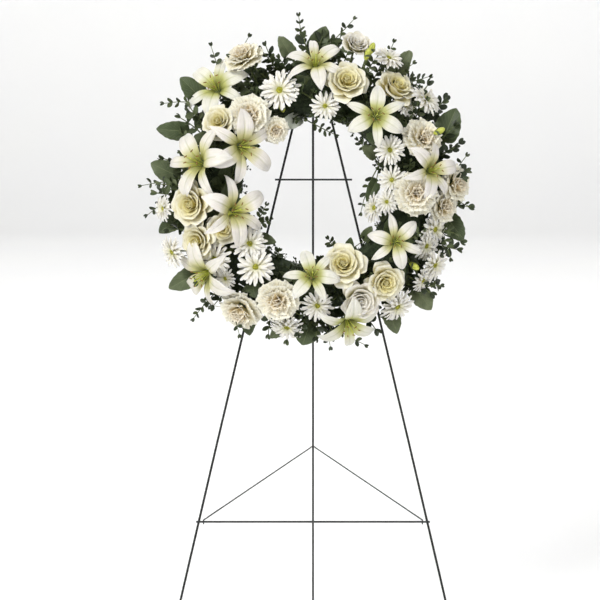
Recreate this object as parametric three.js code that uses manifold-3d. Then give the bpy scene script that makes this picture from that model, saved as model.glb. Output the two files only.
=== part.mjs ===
import * as THREE from 'three';
import { mergeVertices } from 'three/addons/utils/BufferGeometryUtils.js';
import Module from 'manifold-3d';

const wasm = await Module();
wasm.setup();

// Driving dimensions in millimetres. X runs to the right, Y to the back and Z up.
const APEX_HEIGHT = 1310;
const FRONT_FOOT_X = 314;
const FRONT_FOOT_Y = -200;
const REAR_FOOT_Y = 410;
const LEG_WIRE = 5;
const CROSS_WIRE = 4;
const BRACE_WIRE = 3;
const PIN_WIRE = 2;
const LEG_BOW = 3;
const TOUCH = 0.3;
const TURNING = 0.4;

// Shares of the front leg's length, counted down from the apex.
const LEG_TOP_SHARE = 0.026;
const PIVOT_SHARE = 0.035;
const UPPER_CROSS_SHARE = 0.205;
const LOWER_CROSS_SHARE = 0.722;
const WREATH_SHARE = 0.222;
const BRACE_TIP_HEIGHT = 415;
const PIVOT_BAR_HALF = 17;
const UPPER_CROSS_LEFT = 10;
const UPPER_CROSS_RIGHT = 12;
const LOWER_CROSS_PAST = 5;
const BRACE_EYE_INSET = 10;
const WIRE_SIDES = 8;
const EYE_STEPS = 7;

// Tray and foam ring, in the wreath's own frame: x right, y up along the legs, z out to the viewer.
const RING_RADIUS = 192;
const FOAM_HALF_WIDTH = 42;
const FOAM_HEIGHT = 60;
const FOAM_ROUND = 12;
const TRAY_WALL = 2;
const TRAY_RIM = 15;
const RING_SEGMENTS = 26;
const TRAY_BACK = LEG_WIRE / 2 + TOUCH;
const FOAM_BACK = TRAY_BACK + TRAY_WALL + TOUCH;
const FOAM_FRONT = FOAM_BACK + FOAM_HEIGHT;

// Crown of flowers over the ring.
const CROWN_CENTRE_OUT = 40;
const CROWN_LIMIT = 0.93;
const FACING_SHARE = 0.75;
const ROOT_OUT = 36;
const ROOT_SHARE = 0.3;
const ROOT_LIMIT = 20;
const FORK_OUT = FOAM_FRONT + 5;
const STEM_RADIUS = 2;
const KNOB_RADIUS = 5;
const STEM_SIDES = 4;
const PEG_OUT = 28;
const PEG_DEPTH = 20;
const PEG_PROUD = 8;
const BLADE_THICK = 1.4;

// The layout is read off the plane of the legs from a point 3.4 m in front of the wreath.
const EYE_UP = -211;
const EYE_OUT = 3363;

const LEAN = Math.atan2(-FRONT_FOOT_Y, APEX_HEIGHT);
const PLANE_LENGTH = Math.hypot(FRONT_FOOT_Y, APEX_HEIGHT);

const steelFinish = { color: 0x2b2e2c, roughness: 0.45, metalness: 0.6 };
const crossFinish = { color: 0x4a4f4c, roughness: 0.4, metalness: 0.7 };
const pinFinish = { color: 0x6f7673, roughness: 0.4, metalness: 0.8 };
const trayFinish = { color: 0x23402a, roughness: 0.5, metalness: 0 };
const foamFinish = { color: 0x3f5f3a, roughness: 0.95, metalness: 0 };
const lilyFinish = { color: 0xdcd9c7, roughness: 0.5, metalness: 0 };
const roseFinish = { color: 0xe3d9ae, roughness: 0.55, metalness: 0 };
const carnationFinish = { color: 0xd8d0bd, roughness: 0.65, metalness: 0 };
const mumFinish = { color: 0xeee7d6, roughness: 0.6, metalness: 0 };
const leafFinish = { color: 0x5d6646, roughness: 0.55, metalness: 0 };

function vec(x, y, z) {
  return new THREE.Vector3(x, y, z);
}

function toSolid(geometry) {
  const bare = geometry.clone();
  bare.deleteAttribute('normal');
  bare.deleteAttribute('uv');
  const merged = mergeVertices(bare, 1e-4);
  const vertProperties = new Float32Array(merged.attributes.position.array);
  const triVerts = new Uint32Array(merged.index.array);
  return new wasm.Manifold(new wasm.Mesh({ numProp: 3, vertProperties, triVerts }));
}

function toGeometry(solid) {
  const mesh = solid.getMesh();
  const geometry = new THREE.BufferGeometry();
  geometry.setAttribute('position', new THREE.BufferAttribute(new Float32Array(mesh.vertProperties), 3));
  geometry.setIndex(new THREE.BufferAttribute(new Uint32Array(mesh.triVerts), 1));
  geometry.computeVertexNormals();
  return geometry;
}

function fuse(geometries) {
  return geometries.map(toSolid).reduce((whole, piece) => whole.add(piece));
}

// The same solid with its surface moved out by a small gap.
function swollen(solid, gap) {
  const geometry = toGeometry(solid);
  const position = geometry.attributes.position;
  const normal = geometry.attributes.normal;
  for (let i = 0; i < position.count; i += 1) {
    const moved = vec(0, 0, 0).fromBufferAttribute(normal, i).multiplyScalar(gap);
    moved.add(vec(0, 0, 0).fromBufferAttribute(position, i));
    position.setXYZ(i, moved.x, moved.y, moved.z);
  }
  return toSolid(geometry);
}

function boxesMeet(a, b) {
  const boxA = a.boundingBox();
  const boxB = b.boundingBox();
  return [0, 1, 2].every((k) => boxA.min[k] < boxB.max[k] && boxB.min[k] < boxA.max[k]);
}

function cleared(solid, obstacles) {
  return obstacles.reduce((rest, other) => (boxesMeet(rest, other) ? rest.subtract(other) : rest), solid);
}

function largestPiece(solid) {
  const pieces = solid.decompose();
  return pieces.reduce((best, piece) => (piece.volume() > best.volume() ? piece : best));
}

// A closed skin over a run of rings. A run may start or end in a single point.
// The diagonals mirror each other, so that both faces of a thin blade are split alike.
function skin(rings) {
  const positions = rings.flat().flatMap((point) => [point.x, point.y, point.z]);
  const faces = [];
  let start = 0;
  const count = Math.max(...rings.map((ring) => ring.length));
  rings.forEach((ring, i) => {
    const next = start + ring.length;
    const after = rings[i + 1];
    for (let j = 0; j < count; j += 1) {
      const k = (j + 1) % count;
      if (after && ring.length === 1) {
        faces.push([start, next + k, next + j]);
      } else if (after && after.length === 1) {
        faces.push([start + j, start + k, next]);
      } else if (after && j % 2 === 0) {
        faces.push([start + j, start + k, next + k], [start + j, next + k, next + j]);
      } else if (after) {
        faces.push([start + j, start + k, next + j], [start + k, next + k, next + j]);
      }
      const isEnd = ring.length > 1 && j > 0 && k > 0;
      if (isEnd && i === 0) {
        faces.push([start, start + k, start + j]);
      }
      if (isEnd && !after) {
        faces.push([start, start + j, start + k]);
      }
    }
    start = next;
  });
  const geometry = new THREE.BufferGeometry();
  geometry.setAttribute('position', new THREE.Float32BufferAttribute(positions, 3));
  geometry.setIndex(faces.flat());
  return geometry;
}

// A wire bent through given points, with a section at each of them.
class BentWire extends THREE.Curve {
  constructor(points) {
    super();
    this.points = points;
  }

  getPoint(t) {
    const last = this.points.length - 1;
    const place = Math.min(Math.max(t, 0), 1) * last;
    const i = Math.min(Math.floor(place), last - 1);
    return this.points[i].clone().lerp(this.points[i + 1], place - i);
  }

  getUtoTmapping(u) {
    return u;
  }
}

function roundOutline(radius, sides) {
  const outline = new THREE.Shape();
  for (let i = 0; i < sides; i += 1) {
    const angle = (i + 0.5) * 2 * Math.PI / sides;
    const go = i === 0 ? 'moveTo' : 'lineTo';
    outline[go](radius * Math.cos(angle), radius * Math.sin(angle));
  }
  return outline;
}

function wire(points, radius, sides = WIRE_SIDES) {
  const extrudePath = new BentWire(points);
  const steps = points.length - 1;
  return new THREE.ExtrudeGeometry(roundOutline(radius, sides), { steps, extrudePath, bevelEnabled: false });
}

// Easel

function frontPlanePoint(share, behind = 0) {
  const y = FRONT_FOOT_Y * share + behind * Math.cos(LEAN);
  const z = APEX_HEIGHT * (1 - share) + behind * Math.sin(LEAN);
  return vec(0, y, z);
}

function legX(share) {
  return FRONT_FOOT_X * share + LEG_BOW * Math.sin(Math.PI * share);
}

function cutAtFloor(geometry) {
  const depth = 100;
  const slab = new THREE.BoxGeometry(2000, 2000, depth);
  slab.translate(0, 0, -depth / 2);
  return toGeometry(toSolid(geometry).subtract(toSolid(slab)));
}

function frontLeg(side) {
  const shares = [LEG_TOP_SHARE, 0.2, 0.4, 0.6, 0.8, 1.01];
  const points = shares.map((share) => frontPlanePoint(share).setX(side * legX(share)));
  return cutAtFloor(wire(points, LEG_WIRE / 2));
}

function crossWire(share, left, right) {
  const behind = LEG_WIRE / 2 + CROSS_WIRE / 2 + TOUCH;
  const centre = frontPlanePoint(share, behind);
  const points = [centre.clone().setX(-left), centre.clone().setX(right)];
  return wire(points, CROSS_WIRE / 2);
}

const crossBehind = LEG_WIRE / 2 + CROSS_WIRE / 2 + TOUCH;
const pivot = frontPlanePoint(PIVOT_SHARE, crossBehind);
const hinge = frontPlanePoint(LOWER_CROSS_SHARE, crossBehind);

// The rear leg runs past the back of its eye, so its line lies one eye radius behind the pivot.
const rearEyeRadius = CROSS_WIRE / 2 + TURNING + LEG_WIRE / 2;
const rearReach = Math.hypot(REAR_FOOT_Y - pivot.y, pivot.z);
const rearAngle = Math.atan2(REAR_FOOT_Y - pivot.y, pivot.z) - Math.asin(rearEyeRadius / rearReach);

function around(centre, radius, angle) {
  return vec(centre.x, centre.y + radius * Math.cos(angle), centre.z + radius * Math.sin(angle));
}

function rearLeg() {
  const eyeTurn = THREE.MathUtils.degToRad(262);
  const points = [];
  for (let i = EYE_STEPS; i >= 0; i -= 1) {
    points.push(around(pivot, rearEyeRadius, rearAngle + eyeTurn * i / EYE_STEPS));
  }
  const along = vec(0, Math.sin(rearAngle), -Math.cos(rearAngle));
  points.push(points[points.length - 1].clone().addScaledVector(along, rearReach + LEG_WIRE));
  return cutAtFloor(wire(points, LEG_WIRE / 2));
}

// The brace is one wire bent to a V. Its ends turn on the lower cross wire and its tip passes behind the
// rear leg, so that it holds the leg when the easel is open.
const braceEyeRadius = CROSS_WIRE / 2 + TURNING + BRACE_WIRE / 2;
const tipBehind = LEG_WIRE / 2 + TURNING + BRACE_WIRE / 2;
const tipDrop = (pivot.z + rearEyeRadius * Math.sin(rearAngle) - BRACE_TIP_HEIGHT) / Math.cos(rearAngle);
const tip = around(pivot, rearEyeRadius + tipBehind, rearAngle)
  .add(vec(0, Math.sin(rearAngle) * tipDrop, -Math.cos(rearAngle) * tipDrop));
const tipDistance = Math.hypot(tip.y - hinge.y, tip.z - hinge.z);
const braceReach = Math.sqrt(tipDistance ** 2 - braceEyeRadius ** 2);
const braceRise = Math.atan2(tip.z - hinge.z, tip.y - hinge.y) - Math.asin(braceEyeRadius / tipDistance);

function bracePoint(x, reach) {
  const along = vec(0, Math.cos(braceRise), Math.sin(braceRise));
  return around(hinge, braceEyeRadius, braceRise + Math.PI / 2).setX(x).addScaledVector(along, reach);
}

function braceHalf(side, eyeX) {
  const eyeTurn = THREE.MathUtils.degToRad(265);
  const points = [];
  for (let i = EYE_STEPS; i >= 0; i -= 1) {
    const angle = braceRise + Math.PI / 2 + eyeTurn * i / EYE_STEPS;
    points.push(around(hinge, braceEyeRadius, angle).setX(side * eyeX));
  }
  points.push(bracePoint(side * (tipBehind + 1.6), braceReach - 8));
  points.push(bracePoint(side * tipBehind, braceReach - 2.5));
  return points;
}

function braceWire() {
  const eyeX = legX(LOWER_CROSS_SHARE) - BRACE_EYE_INSET;
  const left = braceHalf(-1, eyeX);
  const right = braceHalf(1, eyeX).reverse();
  return wire([...left, bracePoint(0, braceReach), ...right], BRACE_WIRE / 2, 6);
}

// Tray and foam

function ringLathe(profile, segments = RING_SEGMENTS) {
  const outline = profile.map(([radius, out]) => new THREE.Vector2(radius, out));
  outline.push(outline[0].clone());
  const geometry = new THREE.LatheGeometry(outline, segments);
  geometry.rotateX(Math.PI / 2);
  return geometry;
}

function trayRing() {
  const inner = RING_RADIUS - FOAM_HALF_WIDTH - TOUCH;
  const outer = RING_RADIUS + FOAM_HALF_WIDTH + TOUCH;
  const rim = TRAY_BACK + TRAY_RIM;
  const floor = TRAY_BACK + TRAY_WALL;
  return ringLathe([
    [inner - TRAY_WALL, TRAY_BACK],
    [outer + TRAY_WALL, TRAY_BACK],
    [outer + TRAY_WALL, rim],
    [outer, rim],
    [outer, floor],
    [inner, floor],
    [inner, rim],
    [inner - TRAY_WALL, rim],
  ]);
}

function foamRing() {
  const inner = RING_RADIUS - FOAM_HALF_WIDTH;
  const outer = RING_RADIUS + FOAM_HALF_WIDTH;
  return ringLathe([
    [inner, FOAM_BACK],
    [outer, FOAM_BACK],
    [outer, FOAM_FRONT - FOAM_ROUND],
    [outer - FOAM_ROUND, FOAM_FRONT],
    [inner + FOAM_ROUND, FOAM_FRONT],
    [inner, FOAM_FRONT - FOAM_ROUND],
  ]);
}

// A U-shaped wire pin behind a leg, with both prongs through the tray into the foam.
function tiePin([x, y, halfWidth]) {
  const behind = -(LEG_WIRE / 2 + PIN_WIRE / 2 + TOUCH);
  const inside = FOAM_BACK + 24;
  return wire([
    vec(x - halfWidth, y, inside),
    vec(x - halfWidth, y, behind + 1),
    vec(x - halfWidth + 1, y, behind),
    vec(x + halfWidth - 1, y, behind),
    vec(x + halfWidth, y, behind + 1),
    vec(x + halfWidth, y, inside),
  ], PIN_WIRE / 2, 4);
}

// Placing of heads and stems in the wreath's frame

function drawnIn(right, up, out) {
  const share = 1 - out / EYE_OUT;
  return vec(right * share, EYE_UP + (up - EYE_UP) * share, out);
}

// A head sits on a crown round the ring and faces away from the crown's centre line.
function seat({ right, up, crown, lean = [0, 0] }) {
  const past = Math.hypot(right, up) - RING_RADIUS;
  const radius = Math.max(crown, Math.abs(past) / CROWN_LIMIT);
  const tilt = Math.asin(past / radius);
  const place = drawnIn(right, up, CROWN_CENTRE_OUT + radius * Math.cos(tilt));
  const outward = vec(right, up, 0).normalize();
  const facing = outward.clone().multiplyScalar(Math.sin(tilt * FACING_SHARE));
  facing.add(vec(lean[0], lean[1], Math.cos(tilt * FACING_SHARE))).normalize();
  const rootPast = THREE.MathUtils.clamp(past * ROOT_SHARE, -ROOT_LIMIT, ROOT_LIMIT);
  const root = outward.multiplyScalar(RING_RADIUS + rootPast).setZ(ROOT_OUT);
  return { place, facing, root };
}

function facingMatrix({ place, facing }, turn) {
  const across = vec(1, 0, 0).addScaledVector(facing, -facing.x).normalize();
  const along = facing.clone().cross(across);
  const matrix = new THREE.Matrix4().makeBasis(across, along, facing).setPosition(place);
  return matrix.multiply(new THREE.Matrix4().makeRotationZ(THREE.MathUtils.degToRad(turn)));
}

function knob(place) {
  return toSolid(new THREE.OctahedronGeometry(KNOB_RADIUS, 0).translate(place.x, place.y, place.z));
}

function stem(from, to, radius = STEM_RADIUS) {
  return wire([from, to], radius, STEM_SIDES);
}

// Blades

function diamond(centre, side, face, halfWidth, cup, halfThick) {
  const edge = centre.clone().addScaledVector(face, cup);
  return [
    edge.clone().addScaledVector(side, -halfWidth),
    centre.clone().addScaledVector(face, -halfThick),
    edge.clone().addScaledVector(side, halfWidth),
    centre.clone().addScaledVector(face, halfThick),
  ];
}

// A petal in the head's frame: it leaves the axis at radius and depth, heading by each angle in turn.
function petal({ angle, start, headings, step, widths, cup }) {
  const turn = THREE.MathUtils.degToRad(angle);
  const outward = vec(Math.cos(turn), Math.sin(turn), 0);
  const side = vec(-Math.sin(turn), Math.cos(turn), 0);
  const point = outward.clone().multiplyScalar(start[0]).setZ(start[1]);
  const rings = [];
  headings.forEach((heading, i) => {
    const rise = THREE.MathUtils.degToRad(heading);
    const face = outward.clone().multiplyScalar(-Math.sin(rise)).setZ(Math.cos(rise));
    rings.push(diamond(point, side, face, widths[i] / 2, cup * widths[i], BLADE_THICK / 2));
    point.addScaledVector(outward, step * Math.cos(rise));
    point.z += step * Math.sin(rise);
  });
  rings.push([point.clone()]);
  return skin(rings);
}

function spike(from, to, thick) {
  const along = to.clone().sub(from);
  const side = vec(along.y, -along.x, 0).normalize();
  const up = side.clone().cross(along).normalize();
  const foot = [0, 1, 2].map((k) => {
    const angle = k * 2 * Math.PI / 3;
    const point = from.clone().addScaledVector(side, thick * Math.cos(angle));
    return point.addScaledVector(up, -thick * Math.sin(angle));
  });
  return skin([foot, [to.clone()]]);
}

// A lily with three wide and three narrow tepals and six stamens, 132 mm across at size 1.
function lilyHead() {
  const pieces = [];
  for (let i = 0; i < 6; i += 1) {
    const wide = i % 2 === 0;
    pieces.push(petal({
      angle: i * 60,
      start: [4, wide ? -23 : -25],
      headings: wide ? [56, 18, -18] : [52, 18, -16],
      step: wide ? 26 : 25,
      widths: wide ? [4, 20, 26] : [4, 15, 17],
      cup: wide ? 0.1 : 0.06,
    }));
    const turn = THREE.MathUtils.degToRad(i * 60 + 30);
    const foot = vec(3 * Math.cos(turn), 3 * Math.sin(turn), -20);
    const anther = vec(15 * Math.cos(turn), 15 * Math.sin(turn), 17);
    pieces.push(spike(foot, anther, 1.7));
  }
  const throat = new THREE.CylinderGeometry(7.5, 3.2, 16, 6);
  throat.rotateX(Math.PI / 2);
  throat.translate(0, 0, -26);
  pieces.push(throat);
  return fuse(pieces);
}

// A head whose layers of petals are rows of one turned surface. Each row gives its radius, height, the
// number of petals in it, and how far the surface draws in and down between them.
function layeredHead(base, rows, top, columns) {
  const rings = rows.map(({ radius, height, petals = 0, shift = 0, drawIn = 0, drop = 0 }) => {
    const ring = [];
    for (let i = 0; i < columns; i += 1) {
      const angle = i * 2 * Math.PI / columns;
      const lobe = petals ? Math.abs(Math.cos(petals * (angle + shift) / 2)) : 1;
      const out = radius - drawIn * (1 - lobe);
      ring.push(vec(out * Math.cos(angle), out * Math.sin(angle), height - drop * (1 - lobe)));
    }
    return ring;
  });
  return toSolid(skin([[vec(0, 0, base)], ...rings, [vec(0, 0, top)]]));
}

// A rose, 72 mm across at size 1.
function roseHead() {
  const fifth = Math.PI / 5;
  return layeredHead(-26, [
    { radius: 25, height: -9 },
    { radius: 36, height: 2, petals: 5, drawIn: 9, drop: 7 },
    { radius: 23, height: 1 },
    { radius: 26, height: 11, petals: 5, shift: fifth, drawIn: 7, drop: 6 },
    { radius: 14, height: 6 },
    { radius: 15, height: 15, petals: 3, drawIn: 6, drop: 5 },
  ], 9, 15);
}

// A carnation, 80 mm across at size 1, with three frilled layers.
function carnationHead() {
  const frills = 7;
  const half = Math.PI / frills;
  return layeredHead(-24, [
    { radius: 22, height: -9 },
    { radius: 41, height: 2, petals: frills, drawIn: 7, drop: 6 },
    { radius: 24, height: 4 },
    { radius: 34, height: 13, petals: frills, shift: half, drawIn: 7, drop: 5 },
    { radius: 16, height: 13 },
    { radius: 24, height: 22, petals: frills, drawIn: 6, drop: 5 },
  ], 19, 14);
}

// A daisy-like chrysanthemum, 66 mm across at size 1. A full one has a second layer of petals.
function mumHead(full) {
  const petals = 7;
  const half = Math.PI / petals;
  const outer = { radius: 33, height: 1, petals, drawIn: 19, drop: 4 };
  const disc = { radius: 8, height: 4 };
  const inner = [
    { radius: 11, height: 0.5 },
    { radius: 25, height: 6, petals, shift: half, drawIn: 14, drop: 3.5 },
  ];
  const rows = full ? [outer, ...inner] : [outer, disc];
  return layeredHead(-10, rows, full ? 4 : 7, petals * 2);
}

// Flowers. Right and up are where a head shows on the plane of the legs, and lean adds to its facing.

const LILY_CROWN = 102;
const ROSE_CROWN = 86;
const CARNATION_CROWN = 84;
const MUM_CROWN = 72;
const FULL_MUM_SIZE = 0.9;

const lilies = [
  { right: 5, up: 262, size: 0.84, turn: 35, lean: [0, 0] },
  { right: -196, up: 212, size: 0.94, turn: 20, lean: [0.35, -0.3] },
  { right: -138, up: 90, size: 1, turn: -35, lean: [0.35, 0] },
  { right: -234, up: 61, size: 1.04, turn: -5, lean: [-0.25, 0.1] },
  { right: 126, up: 153, size: 0.84, turn: -30, lean: [0, 0] },
  { right: 240, up: 44, size: 0.84, turn: 15, lean: [0.2, 0] },
  { right: -222, up: -168, size: 1.04, turn: -10, lean: [-0.25, -0.1] },
  { right: -2, up: -166, size: 0.78, turn: -8, lean: [0, 0.1] },
  { right: -154, up: -38, size: 0.98, turn: 35, lean: [0.3, 0] },
  { right: 166, up: -100, size: 0.76, turn: 40, lean: [0.1, 0] },
  { right: 73, up: -268, size: 0.92, turn: -35, lean: [0.1, -0.1] },
];

const roses = [
  { right: 67, up: 221, size: 0.95, turn: 10 },
  { right: 166, up: 209, size: 0.95, turn: 40 },
  { right: -242, up: -26, size: 1.05, turn: 25 },
  { right: -180, up: -74, size: 0.78, turn: 0, crown: 72 },
  { right: -230, up: -98, size: 0.85, turn: 50 },
  { right: 61, up: -146, size: 1, turn: 15 },
  { right: 144, up: -180, size: 0.9, turn: 30 },
  { right: 95, up: -216, size: 0.92, turn: 60 },
  { right: 86, up: 294, size: 0.76, turn: 0, lean: [0, -0.3] },
  { right: -188, up: 140, size: 0.8, turn: 20 },
];

const carnations = [
  { right: -140, up: 272, size: 0.9, turn: 0 },
  { right: -128, up: 153, size: 0.95, turn: 8 },
  { right: 221, up: 107, size: 0.95, turn: 16 },
  { right: 286, up: 16, size: 0.92, turn: 4 },
  { right: -146, up: -238, size: 1, turn: 12 },
  { right: -70, up: -219, size: 0.95, turn: 20 },
  { right: 207, up: -3, size: 0.98, turn: 6 },
  { right: 262, up: -30, size: 0.8, turn: 10 },
  { right: -75, up: 123, size: 0.62, turn: 14 },
];

// Each spray is one branching stem with its root at a share of the way round and across the ring.
const mumSprays = [
  { root: [98, 196], heads: [[24, 172, 0.85], [-67, 203, 1.2]] },
  { root: [50, 205], heads: [[151, 267, 0.95], [226, 184, 1.05], [184, 172, 0.8]] },
  { root: [7, 180], heads: [[154, 84, 0.9], [158, 24, 0.85], [123, -32, 0.9], [148, -20, 0.75]] },
  {
    root: [-33, 205],
    heads: [[243, -75, 1.05], [226, -108, 0.9], [243, -146, 1], [219, -177, 0.75], [168, -229, 1.1]],
  },
  { root: [-98, 200], heads: [[-52, -270, 1.05], [9, -227, 0.95]] },
  {
    root: [216, 200],
    heads: [
      [-299, -33, 0.8], [-281, -120, 0.95], [-196, -134, 1.05], [-127, -104, 1.05],
      [-115, -150, 1.1], [-175, -173, 0.7],
    ],
  },
];

// Leaves

function leafWidth(t) {
  return Math.sin(Math.PI * t ** 0.8) ** 0.85;
}

// A leaf on its stalk, from the joint to the blade's base and on to its tip, waved along its edges.
function leaf(joint, [baseX, baseY, baseZ], [tipX, tipY, tipZ], width, wave = 0.06) {
  const base = vec(baseX, baseY, baseZ);
  const along = vec(tipX, tipY, tipZ).sub(base);
  const side = vec(-along.y, along.x, 0).normalize();
  const face = along.clone().cross(side).normalize();
  const arch = along.length() * 0.12;
  const stalk = 1.1;
  const rings = [
    diamond(joint, side, face, stalk, 0, stalk),
    diamond(base, side, face, stalk, 0, stalk),
  ];
  [0.3, 0.7].forEach((t, i) => {
    const centre = base.clone().addScaledVector(along, t);
    centre.addScaledVector(face, arch * Math.sin(Math.PI * t));
    const cup = (i % 2 ? -wave : wave) * width;
    rings.push(diamond(centre, side, face, width * leafWidth(t) / 2, cup, BLADE_THICK / 2));
  });
  rings.push([base.clone().add(along)]);
  return skin(rings);
}

// A sprig: one thin bowed blade whose edges run out to a small leaf on each side of every joint.
function sprig(joint, [tipX, tipY, tipZ], pairs, reach = 13) {
  const tipPoint = vec(tipX, tipY, tipZ);
  const bow = joint.distanceTo(tipPoint) * 0.12;
  const middle = joint.clone().lerp(tipPoint, 0.5).add(vec(0, 0, bow));
  const curve = new THREE.QuadraticBezierCurve3(joint, middle, tipPoint);
  const rib = 1.1;
  const rings = [];
  const addRing = (t, halfWidth, sweep) => {
    const along = curve.getTangent(t);
    const side = vec(-along.y, along.x, 0).normalize();
    const face = along.clone().cross(side).normalize();
    const ring = diamond(curve.getPoint(t), side, face, halfWidth, 0, rib);
    ring[0].addScaledVector(along, sweep).addScaledVector(face, sweep * 0.3);
    ring[2].addScaledVector(along, sweep).addScaledVector(face, sweep * 0.3);
    rings.push(ring);
  };
  addRing(0, rib, 0);
  for (let i = 0; i < pairs; i += 1) {
    const t = 0.34 + 0.6 * i / pairs;
    addRing(t, rib, 0);
    addRing(t + 0.05, reach * (1 - 0.3 * i / pairs), reach * 0.7);
  }
  rings.push([curve.getPoint(1)]);
  return skin(rings);
}

// A leafy stem stands in the side of the foam. Its angle is counted from the right, anticlockwise.
function leafyStem({ angle, inner = false, leaves = [], sprigs = [] }) {
  const turn = THREE.MathUtils.degToRad(angle);
  const outward = vec(Math.cos(turn), Math.sin(turn), 0);
  const way = inner ? -1 : 1;
  const skinRadius = RING_RADIUS + way * FOAM_HALF_WIDTH;
  const root = outward.clone().multiplyScalar(skinRadius - way * PEG_DEPTH).setZ(PEG_OUT);
  const joint = outward.clone().multiplyScalar(skinRadius + way * PEG_PROUD).setZ(PEG_OUT + 2);
  const peg = toSolid(stem(root, joint, STEM_RADIUS)).add(knob(joint));
  const blades = leaves.map(([base, end, width]) => leaf(joint, base, end, width));
  const shoots = sprigs.map(([end, pairs]) => sprig(joint, end, pairs));
  return { peg, head: fuse([...blades, ...shoots]) };
}

const leafyStems = [
  {
    angle: 95,
    leaves: [[[0, 262, 42], [27, 326, 58], 46], [[-40, 258, 36], [-69, 306, 54], 34]],
    sprigs: [[[-28, 340, 70], 3], [[80, 334, 64], 3]],
  },
  {
    angle: 57,
    leaves: [[[150, 212, 40], [193, 279, 56], 41]],
    sprigs: [[[158, 288, 72], 3], [[196, 246, 76], 3], [[228, 222, 66], 3]],
  },
  {
    angle: -2,
    leaves: [[[256, 96, 44], [283, 165, 60], 55], [[262, -50, 40], [299, -100, 53], 44]],
    sprigs: [[[300, 66, 72], 3], [[310, -34, 66], 3], [[270, -134, 66], 3]],
  },
  {
    angle: -48,
    leaves: [[[198, -192, 44], [235, -238, 58], 46], [[146, -228, 40], [167, -286, 54], 39]],
    sprigs: [[[250, -188, 72], 3]],
  },
  {
    angle: -88,
    leaves: [[[-6, -262, 46], [-22, -307, 65], 57], [[-50, -250, 38], [-84, -295, 51], 34]],
    sprigs: [[[102, -304, 66], 3], [[34, -308, 74], 3]],
  },
  {
    angle: -133,
    leaves: [[[-128, -226, 38], [-125, -290, 52], 39], [[-224, -158, 40], [-288, -196, 50], 44]],
    sprigs: [[[-144, -284, 74], 3], [[-234, -252, 66], 3]],
  },
  {
    angle: 176,
    leaves: [[[-262, 26, 42], [-323, 55, 56], 46], [[-256, -48, 36], [-307, -86, 46], 37]],
    sprigs: [[[-324, -50, 74], 3], [[-336, 8, 68], 3]],
  },
  {
    angle: 137,
    leaves: [[[-214, 172, 40], [-264, 225, 56], 46], [[-244, 118, 36], [-313, 121, 50], 41]],
    sprigs: [[[-200, 282, 66], 3], [[-126, 300, 66], 3], [[-292, 168, 76], 3]],
  },
  {
    angle: 96,
    inner: true,
    leaves: [[[-26, 140, 60], [-64, 118, 84], 26]],
    sprigs: [[[44, 108, 60], 3]],
  },
  {
    angle: 22,
    inner: true,
    leaves: [[[126, 66, 60], [94, 84, 84], 28], [[126, 22, 50], [104, -26, 66], 26]],
    sprigs: [[[88, 98, 56], 3], [[94, -44, 56], 3]],
  },
  {
    angle: -68,
    inner: true,
    leaves: [[[70, -124, 56], [74, -92, 78], 22], [[100, -100, 52], [116, -70, 72], 24]],
    sprigs: [[[30, -96, 62], 3]],
  },
  {
    angle: 212,
    inner: true,
    leaves: [[[-112, -92, 50], [-70, -104, 70], 26]],
    sprigs: [[[-92, -30, 60], 3], [[-84, -58, 72], 3]],
  },
];

function placedHead(head, spec, seated) {
  const matrix = facingMatrix(seated, spec.turn ?? 0);
  matrix.multiply(new THREE.Matrix4().makeScale(spec.size, spec.size, spec.size));
  return head.transform(matrix.elements);
}

function bloom(name, head, depth, crown, spec, finish) {
  const seated = seat({ crown, ...spec });
  const neck = seated.place.clone().addScaledVector(seated.facing, -depth * spec.size);
  return {
    name,
    finish,
    head: placedHead(head, spec, seated),
    stem: toSolid(stem(neck, seated.root)),
  };
}

function spray(name, [fullHead, smallHead], { root: [angle, radius], heads }, finish) {
  const turn = THREE.MathUtils.degToRad(angle);
  const root = vec(Math.cos(turn) * radius, Math.sin(turn) * radius, ROOT_OUT);
  const fork = root.clone().setZ(FORK_OUT);
  const placed = heads.map(([right, up, size], i) => {
    const spec = { right, up, size, turn: i * 11 };
    const seated = seat({ ...spec, crown: MUM_CROWN });
    const neck = seated.place.clone().addScaledVector(seated.facing, -6 * size);
    const head = size < FULL_MUM_SIZE ? smallHead : fullHead;
    return { head: placedHead(head, spec, seated), stem: toSolid(stem(neck, fork)) };
  });
  const peg = toSolid(stem(fork, root, STEM_RADIUS * 1.3)).add(knob(fork));
  return {
    name,
    finish,
    head: placed.map((one) => one.head).reduce((whole, one) => whole.add(one)),
    stem: placed.map((one) => one.stem).reduce((whole, one) => whole.add(one), peg),
  };
}

function allBlooms() {
  const lily = lilyHead();
  const rose = roseHead();
  const carnation = carnationHead();
  const mums = [mumHead(true), mumHead(false)];
  return [
    ...lilies.map((spec, i) => bloom(`lily_${i + 1}`, lily, 30, LILY_CROWN, spec, lilyFinish)),
    ...roses.map((spec, i) => bloom(`rose_${i + 1}`, rose, 22, ROSE_CROWN, spec, roseFinish)),
    ...carnations.map((spec, i) => (
      bloom(`carnation_${i + 1}`, carnation, 20, CARNATION_CROWN, spec, carnationFinish)
    )),
    ...mumSprays.map((spec, i) => spray(`mum_spray_${i + 1}`, mums, spec, mumFinish)),
    ...leafyStems.map((spec, i) => {
      const { peg, head } = leafyStem(spec);
      return { name: `leafy_stem_${i + 1}`, finish: leafFinish, head, stem: peg };
    }),
  ];
}

// Every stem keeps its full length. A head gives way to other stems and to the heads before it.
function settledBlooms() {
  const blooms = allBlooms();
  const stems = blooms.map((one) => swollen(one.stem, TOUCH).add(one.stem));
  const taken = [];
  blooms.forEach((one, i) => {
    const others = stems.filter((_, k) => k !== i);
    const head = cleared(one.head, [...others, ...taken]);
    one.solid = largestPiece(head.add(one.stem));
    taken.push(swollen(one.solid, TOUCH).add(one.solid));
  });
  return blooms;
}

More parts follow.
